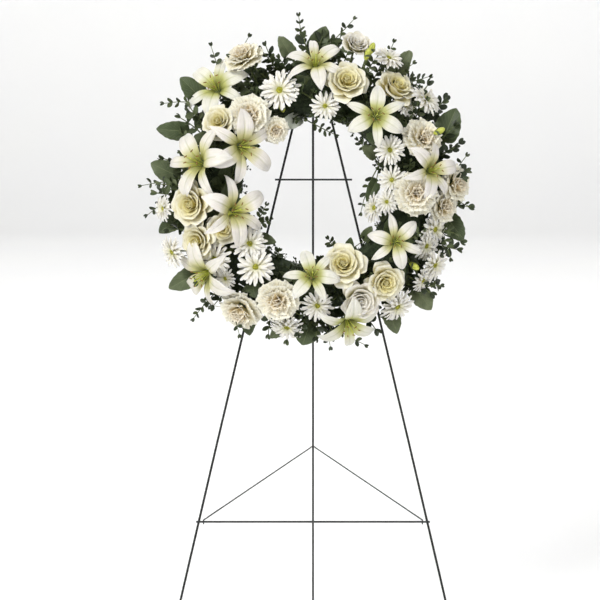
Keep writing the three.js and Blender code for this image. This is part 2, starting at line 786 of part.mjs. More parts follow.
function asMesh(name, geometry, finish) {
  const mesh = new THREE.Mesh(geometry, new THREE.MeshStandardMaterial(finish));
  mesh.name = name;
  return mesh;
}

function wreathGroup() {
  const blooms = settledBlooms();
  const pins = [[0, 192, 32], [-108, -160, 7], [108, -160, 7]].map(tiePin);
  const pinHoles = pins.map((pin) => swollen(toSolid(pin), TOUCH));
  const wreath = new THREE.Group();
  wreath.add(asMesh('tray_ring', toGeometry(cleared(toSolid(trayRing()), pinHoles)), trayFinish));
  const stemHoles = blooms.map((one) => swollen(one.stem, TOUCH));
  const foam = largestPiece(cleared(toSolid(foamRing()), [...stemHoles, ...pinHoles]));
  wreath.add(asMesh('foam_ring', toGeometry(foam), foamFinish));
  pins.forEach((pin, i) => wreath.add(asMesh(`tie_pin_${i + 1}`, pin, pinFinish)));
  blooms.forEach((one) => wreath.add(asMesh(one.name, toGeometry(one.solid), one.finish)));
  wreath.rotation.x = Math.PI / 2 - LEAN;
  wreath.position.copy(frontPlanePoint(WREATH_SHARE));
  return wreath;
}

function easelGroup() {
  const upperX = legX(UPPER_CROSS_SHARE);
  const lowerX = legX(LOWER_CROSS_SHARE) + LOWER_CROSS_PAST;
  const easel = new THREE.Group();
  easel.add(asMesh('front_leg_left', frontLeg(-1), steelFinish));
  easel.add(asMesh('front_leg_right', frontLeg(1), steelFinish));
  easel.add(asMesh('pivot_bar', crossWire(PIVOT_SHARE, PIVOT_BAR_HALF, PIVOT_BAR_HALF), crossFinish));
  const upper = crossWire(UPPER_CROSS_SHARE, upperX + UPPER_CROSS_LEFT, upperX + UPPER_CROSS_RIGHT);
  easel.add(asMesh('upper_cross_wire', upper, crossFinish));
  easel.add(asMesh('lower_cross_wire', crossWire(LOWER_CROSS_SHARE, lowerX, lowerX), crossFinish));
  easel.add(asMesh('rear_leg', rearLeg(), steelFinish));
  easel.add(asMesh('brace_wire', braceWire(), crossFinish));
  return easel;
}

// The origin is the middle of the whole object's footprint box, on the floor.
const group = new THREE.Group();
group.add(easelGroup(), wreathGroup());
group.updateMatrixWorld(true);
const extent = new THREE.Box3().setFromObject(group, true);
group.position.set(-(extent.min.x + extent.max.x) / 2, -(extent.min.y + extent.max.y) / 2, -extent.min.z);

export default group;
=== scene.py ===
import math
import random

import bmesh
import bpy
from mathutils import Matrix, Vector


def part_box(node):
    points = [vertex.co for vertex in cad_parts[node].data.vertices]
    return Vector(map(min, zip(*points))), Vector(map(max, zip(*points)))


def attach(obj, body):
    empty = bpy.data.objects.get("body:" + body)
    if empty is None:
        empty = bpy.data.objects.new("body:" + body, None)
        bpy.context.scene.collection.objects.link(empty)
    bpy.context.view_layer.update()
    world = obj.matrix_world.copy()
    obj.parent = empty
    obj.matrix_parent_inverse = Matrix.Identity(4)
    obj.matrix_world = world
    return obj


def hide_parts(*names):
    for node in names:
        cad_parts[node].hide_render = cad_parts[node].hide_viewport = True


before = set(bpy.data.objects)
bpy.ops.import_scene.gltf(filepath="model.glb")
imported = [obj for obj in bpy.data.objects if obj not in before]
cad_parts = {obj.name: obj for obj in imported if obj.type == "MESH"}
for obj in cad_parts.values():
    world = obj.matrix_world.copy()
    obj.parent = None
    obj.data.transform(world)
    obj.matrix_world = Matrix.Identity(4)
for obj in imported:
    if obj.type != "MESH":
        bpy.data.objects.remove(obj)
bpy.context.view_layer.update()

flowerBody = "front_frame"
chance = random.Random(8)
vary = chance.uniform  # a chance number between two others
print("frame loaded")


# Camera, floor and light

view = {"back": 3.492, "up": 1.319, "pitch": 81.2, "lens": 100.9, "shift": -13 / 600}
studio = {"floor": 32, "wall": 9, "bendRadius": 3, "wallBehind": 8, "near": 0.1, "world": 0.8,
          "aim": (0, -0.05, 0.85)}
lamps = [
    {"place": (-2.1, -2.9, 3.1), "size": 1.5, "power": 132},
    {"place": (2.6, -2.2, 2.1), "size": 2.2, "power": 34},
    {"place": (0.2, 1.8, 3.6), "size": 2, "power": 60},
    {"place": (0, -3.6, 0.9), "size": 1.8, "power": 14},
]
# Two pairs light the studio's wall and its floor, the others the wreath
lamps += [{"place": (2.6 * s, 3.4, 5.2), "aim": (s, 8, 1.6), "size": 4, "power": 145} for s in (-1, 1)]
lamps += [{"place": (2.6 * s, -5.4, 5.2), "aim": (s, -12, 0), "size": 4, "power": 55} for s in (-1, 1)]


def toMode(mode):
    bpy.ops.object.mode_set(mode=mode)


def deselectAll():
    if bpy.context.object and bpy.context.object.mode != "OBJECT":
        toMode("OBJECT")
    bpy.ops.object.select_all(action="DESELECT")


def onlyActive(piece):
    deselectAll()
    piece.select_set(True)
    bpy.context.view_layer.objects.active = piece


def pick(piece, wanted):  # selects the vertices whose numbers are in the set wanted
    mesh = bmesh.from_edit_mesh(piece.data)
    for vertex in mesh.verts:
        vertex.select = vertex.index in wanted
    mesh.select_flush_mode()
    bmesh.update_edit_mesh(piece.data)


def setCamera():
    deselectAll()
    low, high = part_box("foam_ring")
    place = ((low[0] + high[0]) / 2, -view["back"], view["up"])
    bpy.ops.object.camera_add(location=place, rotation=(math.radians(view["pitch"]), 0, 0))
    camera = bpy.context.object
    camera.data.lens = view["lens"]
    camera.data.shift_x = view["shift"]
    camera.data.dof.use_dof = False
    bpy.context.scene.camera = camera


def chooseEdges(piece, wanted):
    mesh = bmesh.from_edit_mesh(piece.data)
    for edge in mesh.edges:
        edge.select = all(wanted(vertex.co) for vertex in edge.verts)
    bmesh.update_edit_mesh(piece.data)


def setStudio():
    deselectAll()
    size, near = studio["floor"], studio["near"]
    bpy.ops.mesh.primitive_plane_add(size=size, location=(0, studio["wallBehind"] - size / 2, 0))
    floor = bpy.context.object
    floor.name = "studio_floor"
    toMode("EDIT")
    chooseEdges(floor, lambda spot: spot.y > size / 2 - near)
    bpy.ops.mesh.extrude_region_move(TRANSFORM_OT_translate={"value": (0, 0, studio["wall"])})
    bpy.ops.mesh.select_all(action="DESELECT")
    chooseEdges(floor, lambda spot: spot.y > size / 2 - near and spot.z < near)
    bpy.ops.mesh.bevel(offset=studio["bendRadius"], segments=16, affect="EDGES")
    toMode("OBJECT")
    bpy.ops.object.transform_apply()
    bpy.ops.object.shade_smooth()
    return floor


def setLights():
    for lamp in lamps:
        deselectAll()
        bpy.ops.object.light_add(type="AREA", location=lamp["place"])
        light = bpy.context.object
        light.data.shape = "SQUARE"
        light.data.size = lamp["size"]
        light.data.energy = lamp["power"]
        way = Vector(lamp.get("aim", studio["aim"])) - light.location
        light.rotation_euler = way.to_track_quat("-Z", "Y").to_euler()
    world = bpy.data.worlds.new("studio")
    world.use_nodes = True
    world.node_tree.nodes["Background"].inputs["Color"].default_value = (1, 1, 1, 1)
    world.node_tree.nodes["Background"].inputs["Strength"].default_value = studio["world"]
    bpy.context.scene.world = world


setCamera()
setLights()
print("camera and lights set")


# Materials. Petals and leaves carry petalData: red runs from root to tip, green from edge to edge, and blue
# is a number of the petal's own.

def linear(tone):  # a screen value from 0 to 255 as the light that Blender counts in
    return ((tone / 255 + 0.055) / 1.055) ** 2.4 if tone > 10 else tone / 255 / 12.92


def colour(red, green, blue):
    return linear(red), linear(green), linear(blue), 1


# A material under construction, with short calls for the nodes that it uses
class Shader:

    def __init__(self, name, roughness=0.5, metallic=0):
        self.material = bpy.data.materials.new(name)
        self.material.use_nodes = True
        self.tree = self.material.node_tree
        self.surface = self.tree.nodes["Principled BSDF"]
        self.surface.inputs["Roughness"].default_value = roughness
        self.surface.inputs["Metallic"].default_value = metallic

    def add(self, kind, inputs=None, **settings):
        node = self.tree.nodes.new(kind)
        for key, value in settings.items():
            setattr(node, key, value)
        for key, value in (inputs or {}).items():
            if isinstance(value, bpy.types.NodeSocket):
                self.tree.links.new(value, node.inputs[key])
            else:
                node.inputs[key].default_value = value
        return node

    def petal(self):
        data = self.add("ShaderNodeAttribute", attribute_name="petalData")
        parts = self.add("ShaderNodeSeparateColor", {"Color": data.outputs["Color"]})
        return parts.outputs["Red"], parts.outputs["Green"], parts.outputs["Blue"]

    def ramp(self, value, stops):
        node = self.add("ShaderNodeValToRGB", {"Fac": value})
        band = node.color_ramp
        while len(band.elements) < len(stops):
            band.elements.new(0.5)
        for element, (place, tone) in zip(band.elements, stops):
            element.position = place
            element.color = colour(*tone)
        return node.outputs["Color"]

    def math(self, operation, a, b=0.5):
        return self.add("ShaderNodeMath", {0: a, 1: b}, operation=operation).outputs[0]

    def fromMiddle(self, across):  # 0 at the midrib, 0.5 at both edges
        return self.math("ABSOLUTE", self.math("SUBTRACT", across, 0.5))

    def span(self, value, low, high, toLow=0, toHigh=1):
        inputs = {"Value": value, "From Min": low, "From Max": high, "To Min": toLow, "To Max": toHigh}
        return self.add("ShaderNodeMapRange", inputs).outputs["Result"]

    def mix(self, share, a, b, kind="MIX"):
        return self.add("ShaderNodeMix", {0: share, 6: a, 7: b}, data_type="RGBA",
                        blend_type=kind).outputs[2]

    def noise(self, scale, detail=3, vector=None):
        if vector is None:
            vector = self.add("ShaderNodeTexCoord").outputs["Object"]
        inputs = {"Vector": vector, "Scale": scale, "Detail": detail}
        return self.add("ShaderNodeTexNoise", inputs).outputs["Fac"]

    def bump(self, height, strength, distance):
        node = self.add("ShaderNodeBump", {"Height": height, "Strength": strength, "Distance": distance})
        self.tree.links.new(node.outputs["Normal"], self.surface.inputs["Normal"])

    def soften(self, glow, reach, sheen):
        self.surface.inputs["Subsurface Weight"].default_value = glow
        self.surface.inputs["Subsurface Radius"].default_value = reach
        self.surface.inputs["Specular IOR Level"].default_value = sheen

    def finish(self, tone):
        self.tree.links.new(tone, self.surface.inputs["Base Color"])
        return self.material


petalGrain = {"run": 1.5, "shift": 37, "streak": (0.35, 0.75), "mottle": 55, "patch": (0.3, 0.7),
              "dim": (0.84, 0.93), "bumpDepth": 0.0012, "reach": (0.004, 0.0034, 0.0022), "sheen": 0.3}
leafGrain = {"slant": 0.7, "veinWidth": 0.16, "rib": (0.035, 0.008), "mottle": 70,
             "patch": (0.35, 0.7, 0, 0.45), "rim": (0.46, 0.5, 0, 0.35), "patchHeight": 0.4, "bump": 0.45,
             "bumpDepth": 0.0008, "glow": 0.08, "reach": (0.002, 0.003, 0.001), "sheen": 0.35}


# A soft petal: colours from root to tip, a midrib, fine streaks along it and a tone of its own
def petalMaterial(name, look):
    grain = petalGrain
    shader = Shader(name, look["roughness"])
    along, across, own = shader.petal()
    tone = shader.ramp(along, look["stops"])
    if "otherStops" in look:
        share = shader.span(own, *look["otherSpan"])
        tone = shader.mix(share, tone, shader.ramp(along, look["otherStops"]))
    if "rib" in look:
        narrow = shader.span(shader.fromMiddle(across), look["ribWidth"], 0)
        rib = shader.math("MULTIPLY", narrow, shader.span(along, look["ribEnd"], 0))
        tone = shader.mix(rib, tone, colour(*look["rib"]))
    lines = shader.add("ShaderNodeCombineXYZ", {
        "X": shader.math("MULTIPLY", along, grain["run"]),
        "Y": shader.math("MULTIPLY", across, look["streaks"]),
        "Z": shader.math("MULTIPLY", own, grain["shift"])})
    streak = shader.noise(1, 2, lines.outputs["Vector"])
    share = shader.span(streak, *grain["streak"], 0, look["streakShare"])
    tone = shader.mix(share, tone, colour(*look["streakTone"]))
    patch = shader.span(shader.noise(grain["mottle"]), *grain["patch"], *grain["dim"])
    light = shader.math("MULTIPLY", patch, shader.span(own, 0, 1, look["dim"], 1))
    grey = shader.add("ShaderNodeCombineColor", {"Red": light, "Green": light,
                                                 "Blue": light}).outputs["Color"]
    shader.bump(streak, look["bump"], grain["bumpDepth"])
    tone = shader.mix(1, tone, grey, "MULTIPLY")
    shader.soften(look["glow"], grain["reach"], grain["sheen"])
    shader.surface.inputs["Subsurface Scale"].default_value = 1
    return shader.finish(tone)


# A leaf: side veins run forward from a paler midrib, over darker mottling and inside a paler rim
def leafMaterial(name, look):
    grain = leafGrain
    shader = Shader(name, look["roughness"])
    along, across, own = shader.petal()
    middle = shader.fromMiddle(across)
    slant = shader.math("SUBTRACT", along, shader.math("MULTIPLY", middle, grain["slant"]))
    wave = shader.math("ABSOLUTE", shader.math("SINE", shader.math("MULTIPLY", slant, look["veins"])))
    vein = shader.span(wave, grain["veinWidth"], 0)
    veins = shader.math("MAXIMUM", vein, shader.span(middle, *grain["rib"]))
    patch = shader.noise(grain["mottle"], 4)
    tone = shader.ramp(own, look["stops"])
    tone = shader.mix(shader.span(patch, *grain["patch"]), tone, colour(*look["dark"]))
    tone = shader.mix(shader.math("MULTIPLY", veins, look["veinShare"]), tone, colour(*look["vein"]))
    tone = shader.mix(shader.span(middle, *grain["rim"]), tone, colour(*look["vein"]))
    sunk = shader.math("MULTIPLY", veins, -1)
    height = shader.math("ADD", sunk, shader.math("MULTIPLY", patch, grain["patchHeight"]))
    shader.bump(height, grain["bump"], grain["bumpDepth"])
    shader.soften(grain["glow"], grain["reach"], look.get("sheen", grain["sheen"]))
    return shader.finish(tone)


# A hard or rough surface with two tones of mottling and a fine bump: its scale, strength and depth
def speckledMaterial(name, look):
    roughness = look["roughness"]
    shader = Shader(name, roughness, look.get("metallic", 0))
    patch = shader.noise(look["scale"], 5)
    tone = shader.mix(shader.span(patch, 0.35, 0.68), colour(*look["tone"]), colour(*look["other"]))
    if "worn" in look:
        rough = shader.span(patch, 0.3, 0.7, roughness - look["worn"], roughness + look["worn"])
        shader.tree.links.new(rough, shader.surface.inputs["Roughness"])
    scale, strength, depth = look["bump"]
    shader.bump(shader.noise(scale), strength, depth)
    return shader.finish(tone)


lilyPetal = petalMaterial("lily_petal", {
    "roughness": 0.48, "glow": 0.22, "bump": 0.5, "dim": 0.94,
    "stops": [(0, (70, 76, 18)), (0.15, (124, 130, 32)), (0.29, (198, 200, 116)), (0.44, (240, 237, 220)),
              (1, (249, 246, 240))],
    "otherStops": [(0, (78, 84, 24)), (0.16, (146, 146, 46)), (0.31, (214, 208, 152)),
                   (0.46, (242, 235, 228)), (1, (247, 242, 238))],
    "otherSpan": (0.3, 0.7),
    "rib": (150, 158, 62), "ribWidth": 0.085, "ribEnd": 0.72, "streaks": 26, "streakShare": 0.4,
    "streakTone": (206, 202, 168)})
rosePetal = petalMaterial("rose_petal", {
    "roughness": 0.55, "glow": 0.28, "bump": 0.15, "dim": 0.88,
    "stops": [(0, (180, 160, 52)), (0.35, (222, 202, 98)), (0.75, (242, 226, 142)), (1, (248, 238, 176))],
    "otherStops": [(0, (206, 190, 96)), (0.4, (240, 228, 172)), (0.8, (250, 244, 214)),
                   (1, (253, 249, 232))],
    "otherSpan": (0.3, 0.75),
    "streaks": 18, "streakShare": 0.25, "streakTone": (214, 200, 150)})
paleRosePetal = petalMaterial("pale_rose_petal", {
    "roughness": 0.55, "glow": 0.28, "bump": 0.15, "dim": 0.9,
    "stops": [(0, (124, 130, 66)), (0.3, (196, 190, 138)), (0.7, (242, 234, 212)), (1, (252, 247, 236))],
    "streaks": 18, "streakShare": 0.2, "streakTone": (204, 198, 172)})
carnationPetal = petalMaterial("carnation_petal", {
    "roughness": 0.62, "glow": 0.12, "bump": 0.15, "dim": 0.98,
    "stops": [(0, (190, 170, 96)), (0.35, (240, 214, 156)), (0.65, (252, 234, 196)), (1, (255, 246, 226))],
    "otherStops": [(0, (190, 184, 104)), (0.35, (246, 234, 184)), (0.65, (255, 248, 222)),
                   (1, (255, 252, 236))],
    "otherSpan": (0.25, 0.6),
    "streaks": 22, "streakShare": 0.35, "streakTone": (196, 188, 156)})
mumPetal = petalMaterial("mum_petal", {
    "roughness": 0.55, "glow": 0.22, "bump": 0.3, "dim": 0.92,
    "stops": [(0, (196, 196, 110)), (0.2, (236, 232, 198)), (0.45, (250, 246, 234)), (1, (254, 252, 244))],
    "streaks": 9, "streakShare": 0.18, "streakTone": (222, 214, 192)})
greenLeaf = leafMaterial("leaf", {
    "roughness": 0.5, "veins": 30, "veinShare": 0.5, "vein": (122, 132, 92), "dark": (46, 58, 34),
    "stops": [(0, (58, 70, 42)), (0.5, (78, 90, 58)), (1, (104, 112, 80))]})
darkLeaf = leafMaterial("dark_leaf", {
    "roughness": 0.42, "veins": 26, "veinShare": 0.35, "vein": (84, 94, 56), "dark": (26, 35, 18),
    "stops": [(0, (34, 44, 24)), (0.5, (50, 61, 34)), (1, (78, 88, 52))]})
silverLeaf = leafMaterial("silver_leaf", {
    "roughness": 0.72, "veins": 30, "veinShare": 0.4, "vein": (206, 208, 196), "dark": (142, 147, 134),
    "stops": [(0, (158, 163, 150)), (1, (188, 191, 178))], "sheen": 0.15})
stemGreen = speckledMaterial("stem", {
    "roughness": 0.55, "scale": 120, "tone": (74, 86, 44), "other": (98, 108, 60),
    "bump": (300, 0.3, 0.0006)})
budGreen = speckledMaterial("bud", {
    "roughness": 0.5, "scale": 180, "tone": (158, 166, 52), "other": (196, 200, 92),
    "bump": (500, 0.3, 0.0006)})
floretGreen = speckledMaterial("floret", {
    "roughness": 0.6, "scale": 420, "tone": (104, 112, 20), "other": (194, 188, 58),
    "bump": (900, 0.9, 0.0012)})
antherTone = speckledMaterial("anther", {
    "roughness": 0.8, "scale": 900, "tone": (112, 84, 40), "other": (150, 118, 60),
    "bump": (2200, 0.6, 0.0004)})
# The foam: its own green, darkened almost to black as painted shade for the deep shade between the blooms
foamGreenAndShade = speckledMaterial("foam", {
    "roughness": 0.95, "scale": 160, "tone": (34, 44, 26), "other": (52, 64, 38),
    "bump": (420, 1, 0.003)})
legPaint = speckledMaterial("leg_wire", {
    "roughness": 0.42, "metallic": 0.25, "scale": 160, "tone": (16, 18, 17), "other": (27, 29, 28),
    "bump": (900, 0.15, 0.0003), "worn": 0.08})
crossSteel = speckledMaterial("cross_wire", {
    "roughness": 0.38, "metallic": 0.5, "scale": 220, "tone": (44, 46, 45), "other": (62, 64, 62),
    "bump": (900, 0.15, 0.0003), "worn": 0.1})
pinSteel = speckledMaterial("pin_wire", {
    "roughness": 0.35, "metallic": 0.9, "scale": 260, "tone": (120, 124, 120), "other": (150, 152, 148),
    "bump": (900, 0.1, 0.0002), "worn": 0.1})
trayPlastic = speckledMaterial("tray_plastic", {
    "roughness": 0.4, "scale": 60, "tone": (26, 52, 32), "other": (32, 60, 38),
    "bump": (260, 0.12, 0.0004), "worn": 0.08})
floorPaint = speckledMaterial("studio_floor", {
    "roughness": 0.9, "scale": 2, "tone": (250, 250, 250), "other": (251, 251, 250),
    "bump": (20, 0, 0.0001)})
print("materials made")


# Petals and leaves start as a grid that lies flat. Its columns are moved into the cross section, and each row
# is then widened, tilted and carried to its place along the petal. Flowers are built in millimetres, their
# middle at the origin and facing up, with each petal's length along x.

# Rows of a petal from its start (out, up): steps are (length, heading, half width, depth)
def walk(start, steps):
    out, up = start
    rows = []
    for length, heading, half, depth in steps:
        turn = math.radians(heading)
        out += length * math.cos(turn)
        up += length * math.sin(turn)
        rows.append((out, up, heading, half, depth))
    return rows


# One petal or leaf. Section is (side, height) of each column at half width 1, lifts move the edges of rows
# up or down, and notch draws every second column of the last row in.
def petal(name, section, rows, thick, lifts=(), rounds=1, notch=0):
    deselectAll()
    bpy.ops.mesh.primitive_grid_add(x_subdivisions=len(rows) - 1, y_subdivisions=len(section) - 1, size=2)
    piece = bpy.context.object
    piece.name = name
    lastRow, lastColumn = len(rows) - 1, len(section) - 1
    rowOf, columnOf = {}, {}
    values = piece.data.attributes.new("petalData", "FLOAT_COLOR", "POINT").data
    for vertex in piece.data.vertices:
        along = (vertex.co.x + 1) / 2
        across = (vertex.co.y + 1) / 2
        values[vertex.index].color = (along, across, 0.5, 1)
        rowOf.setdefault(round(along * lastRow), set()).add(vertex.index)
        columnOf.setdefault(round(across * lastColumn), set()).add(vertex.index)
    toMode("EDIT")
    for number, (side, height) in enumerate(section):
        pick(piece, columnOf[number])
        bpy.ops.transform.translate(value=(0, side + 1 - 2 * number / lastColumn, height))
    for number, (out, up, heading, half, depth) in enumerate(rows):
        pick(piece, rowOf[number])
        place = (2 * number / lastRow - 1, 0, 0)
        bpy.ops.transform.resize(value=(1, half, half * depth), center_override=place)
        bpy.ops.transform.rotate(value=math.radians(heading), orient_axis="Y", center_override=place)
        bpy.ops.transform.translate(value=(out - place[0], 0, up))
    for number, (left, right) in enumerate(lifts):
        out, up, heading = rows[number][:3]
        turn = math.radians(heading)
        for column, lift in ((0, left), (lastColumn, right)):
            pick(piece, rowOf[number] & columnOf[column])
            bpy.ops.transform.translate(value=(-lift * math.sin(turn), 0, lift * math.cos(turn)))
    if notch:
        turn = math.radians(rows[-1][2])
        for column in range(1, lastColumn, 2):
            pick(piece, rowOf[lastRow] & columnOf[column])
            bpy.ops.transform.translate(value=(-notch * math.cos(turn), 0, -notch * math.sin(turn)))
    toMode("OBJECT")
    if rounds:
        change(piece, "SUBSURF", levels=rounds)
    change(piece, "SOLIDIFY", thickness=thick, offset=0)
    bpy.ops.object.shade_smooth_by_angle(angle=math.radians(60))
    return piece


def change(piece, kind, **values):  # adds one modifier with its values and applies it
    onlyActive(piece)
    modifier = piece.modifiers.new(kind.title(), kind)
    for key, value in values.items():
        setattr(modifier, key, value)
    bpy.ops.object.modifier_apply(modifier=modifier.name)


# A copy with its own mesh, moved by the matrix, its petals' own number set
def copied(piece, matrix, own=None):
    twin = piece.copy()
    twin.data = piece.data.copy()
    twin.data.transform(matrix)
    if own is not None:
        for value in twin.data.attributes["petalData"].data:
            along, across, _, last = value.color
            value.color = (along, across, own, last)
    bpy.context.scene.collection.objects.link(twin)
    return twin


def joined(name, pieces):
    onlyActive(pieces[0])
    for piece in pieces:
        piece.select_set(True)
    if len(pieces) > 1:
        bpy.ops.object.join()
    pieces[0].name = name
    pieces[0].data.name = name
    return pieces[0]


def discard(pieces):
    for piece in pieces:
        bpy.data.objects.remove(piece, do_unlink=True)


def assembled(name, parts, blanks):  # a head, once its parts are copied from the blanks
    head = joined(name, parts)
    discard(blanks)
    return head


def paint(piece, material):
    piece.data.materials.clear()
    piece.data.materials.append(material)
    return piece


def turned(degrees, axis="Z"):
    return Matrix.Rotation(math.radians(degrees), 4, axis)


def moved(x, y, z):
    return Matrix.Translation((x, y, z))


def sized(x, y=None, z=None):
    return Matrix.Diagonal((x, x if y is None else y, x if z is None else z, 1))


def swayed(rise, roll):  # tips a petal up or down by a chance angle and rolls it about its length
    return turned(vary(*rise), "Y") @ turned(vary(-roll, roll), "X")


def ruffled(count, reach):  # how far both edges of so many rows are moved up or down
    return [(vary(-1, 1) * reach, vary(-1, 1) * reach) for _ in range(count)]


def marked(piece):  # stems and balls carry petalData too, so that they can be joined to petals
    for value in piece.data.attributes.new("petalData", "FLOAT_COLOR", "POINT").data:
        value.color = (0.2, 0.5, 0.5, 1)
    return piece


# A closed stem through the points: a disc is extruded from point to point
def tube(points, radii, sides=7):
    points = [Vector(point) for point in points]
    deselectAll()
    turn = (points[1] - points[0]).normalized().to_track_quat("Z", "Y").to_euler()
    bpy.ops.mesh.primitive_circle_add(vertices=sides, radius=radii[0], fill_type="NGON",
                                      location=points[0], rotation=turn)
    piece = bpy.context.object
    bpy.ops.object.transform_apply()
    toMode("EDIT")
    bpy.ops.mesh.select_all(action="SELECT")
    for number in range(1, len(points)):
        step = points[number] - points[number - 1]
        bpy.ops.mesh.extrude_region_move(TRANSFORM_OT_translate={"value": step})
        factor = radii[number] / radii[number - 1]
        bpy.ops.transform.resize(value=(factor, factor, factor), center_override=points[number])
    bpy.ops.mesh.select_all(action="SELECT")
    bpy.ops.mesh.normals_make_consistent(inside=False)
    toMode("OBJECT")
    bpy.ops.object.shade_smooth_by_angle(angle=math.radians(60))
    return marked(piece)


def greenTube(points, radii, sides=7):
    return paint(tube(points, radii, sides), stemGreen)


def ball(place, radius, stretch=(1, 1, 1), rings=8, segments=12):
    deselectAll()
    bpy.ops.mesh.primitive_uv_sphere_add(segments=segments, ring_count=rings, radius=radius)
    piece = bpy.context.object
    piece.data.transform(moved(*place) @ sized(*stretch))
    bpy.ops.object.shade_smooth()
    return marked(piece)


# Lilies

lilyLook = {
    "section": [(-1, 0.2), (-0.72, 0.44), (-0.42, 0.26), (-0.2, 0.36), (0, 0), (0.2, 0.36), (0.42, 0.26),
                (0.72, 0.44), (1, 0.2)],
    "wideStart": (4, -23), "narrowStart": (3, -25), "thick": 0.7,
    "wide": [(0, 64, 3, 0.7), (11, 60, 8, 0.6), (13, 46, 13.5, 0.5), (13, 26, 17.5, 0.42), (12, 6, 18, 0.4),
             (12, -10, 15.5, 0.42), (11, -30, 10.5, 0.5), (9, -48, 5, 0.6), (7, -62, 0.5, 0.6)],
    "narrow": [(0, 62, 2.6, 0.7), (12, 56, 6, 0.6), (14, 38, 9.2, 0.5), (14, 18, 11.4, 0.45),
               (13, 0, 11.4, 0.4), (12, -18, 9, 0.45), (10, -36, 5.4, 0.5), (8, -54, 2.4, 0.6),
               (6, -66, 0.4, 0.6)],
    "ruffle": 3.4, "lift": 0.6,
    "throat": [(0, 0, -34), (0, 0, -27), (0, 0, -18)], "throatRadii": [3.2, 5.2, 8.4],
    "filament": [(3, 0, -22), (6, 0, -6), (10, 0, 6)], "filamentRadii": [0.9, 0.8, 0.7, 0.6],
    "anther": (4.2, 1.3, 1.3), "style": [(0, 0, -22), (0.6, 0, 0), (1.6, 0.6, 20)],
    "styleRadii": [1.6, 1.2, 1.3], "stigma": (1.7, 0.6, 20.5), "stigmaRadius": 2.2,
}


def lilyBlank(name, steps, start):
    lifts = [(0, 0)] * 2 + ruffled(len(steps) - 4, lilyLook["ruffle"])
    return paint(petal(name, lilyLook["section"], walk(start, steps), lilyLook["thick"], lifts), lilyPetal)


def makeLily(name):
    look = lilyLook
    wide = [lilyBlank("wide_tepal", look["wide"], look["wideStart"]) for _ in range(2)]
    narrow = [lilyBlank("narrow_tepal", look["narrow"], look["narrowStart"]) for _ in range(2)]
    own = chance.random()
    parts = []
    for number in range(6):
        blank = (narrow if number % 2 else wide)[chance.randrange(2)]
        sway = swayed((-5, 5), 8)
        lift = moved(0, 0, 0 if number % 2 else look["lift"])
        parts.append(copied(blank, turned(60 * number + vary(-6, 6)) @ lift @ sway, own))
    parts.append(greenTube(look["throat"], look["throatRadii"], 14))
    for number in range(6):
        turn = turned(60 * number + 30)
        tip = Vector((15 + vary(-2, 2), vary(-2, 2), 15 + vary(-2, 3)))
        path = [turn @ Vector(point) for point in look["filament"]] + [turn @ tip]
        parts.append(paint(tube(path, look["filamentRadii"], 5), budGreen))
        anther = ball((0, 0, 0), 1, look["anther"], 6, 8)
        anther.data.transform(moved(*(turn @ tip)) @ turn @ turned(vary(-60, 60)))
        parts.append(paint(anther, antherTone))
    parts.append(paint(tube(look["style"], look["styleRadii"]), budGreen))
    parts.append(paint(ball(look["stigma"], look["stigmaRadius"], (1, 1, 0.7), 6, 9), budGreen))
    return assembled(name, parts, wide + narrow)


# Roses

roseLook = {
    "bent": [(-0.95, 0.62), (-0.6, 0.22), (-0.2, 0.02), (0.2, 0.02), (0.6, 0.22), (0.95, 0.62)],
    "thick": 0.55,
    "cup": [(0, 0, -29), (0, 0, -25), (0, 0, -19)], "cupRadii": [2.4, 5, 5.75],
    "sepalSection": [(-1, 0.3), (0, 0), (1, 0.3)], "sepalStart": (4, -22),
    "sepal": [(0, 40, 3.2, 1), (6, 35, 3, 1), (6, 20, 2, 1), (6, 0, 0.5, 1)],
    # Whorls from the middle out: number of petals, their own number, their root, and steps to the tip
    "whorls": [
        (3, 0.1, (0.6, -14), [(0, 84, 4, 1), (9, 88, 6.5, 1), (9, 92, 7, 1), (7, 96, 6, 1),
                              (4, 100, 3.4, 0.9)]),
        (4, 0.16, (2, -15),
         [(0, 78, 5, 1), (10, 84, 8.5, 1), (10, 90, 9.5, 1), (7, 92, 8, 0.9), (4, 84, 5, 0.8)]),
        (5, 0.26, (3, -17),
         [(0, 62, 6, 1), (11, 74, 10, 1), (11, 86, 12, 0.9), (8, 84, 11, 0.8), (5, 56, 7, 0.6)]),
        (5, 0.45, (3.5, -19),
         [(0, 45, 6, 0.9), (12, 62, 12, 0.9), (12, 78, 15, 0.8), (9, 68, 14, 0.65), (5, 30, 10, 0.4)]),
        (5, 0.62, (4, -21),
         [(0, 26, 7, 0.9), (13, 50, 15, 0.9), (14, 70, 20, 0.8), (9, 60, 20, 0.65), (5, 22, 14, 0.45)]),
        (5, 0.85, (4, -22),
         [(0, 12, 7, 0.8), (15, 36, 16, 0.8), (15, 56, 23, 0.7), (9, 40, 23, 0.5), (6, -4, 16, 0.3)]),
        (4, 1, (4, -22),
         [(0, 6, 7, 0.7), (15, 26, 15, 0.7), (15, 40, 21, 0.6), (9, 16, 21, 0.4), (7, -30, 14, 0.2)]),
    ],
}


def calyx():  # the green cup under a rose, with five pointed sepals
    parts = [greenTube(roseLook["cup"], roseLook["cupRadii"], 12)]
    rows = walk(roseLook["sepalStart"], roseLook["sepal"])
    blank = paint(petal("sepal", roseLook["sepalSection"], rows, 0.6), greenLeaf)
    parts += [copied(blank, turned(72 * number), 0.3) for number in range(5)]
    discard([blank])
    return parts


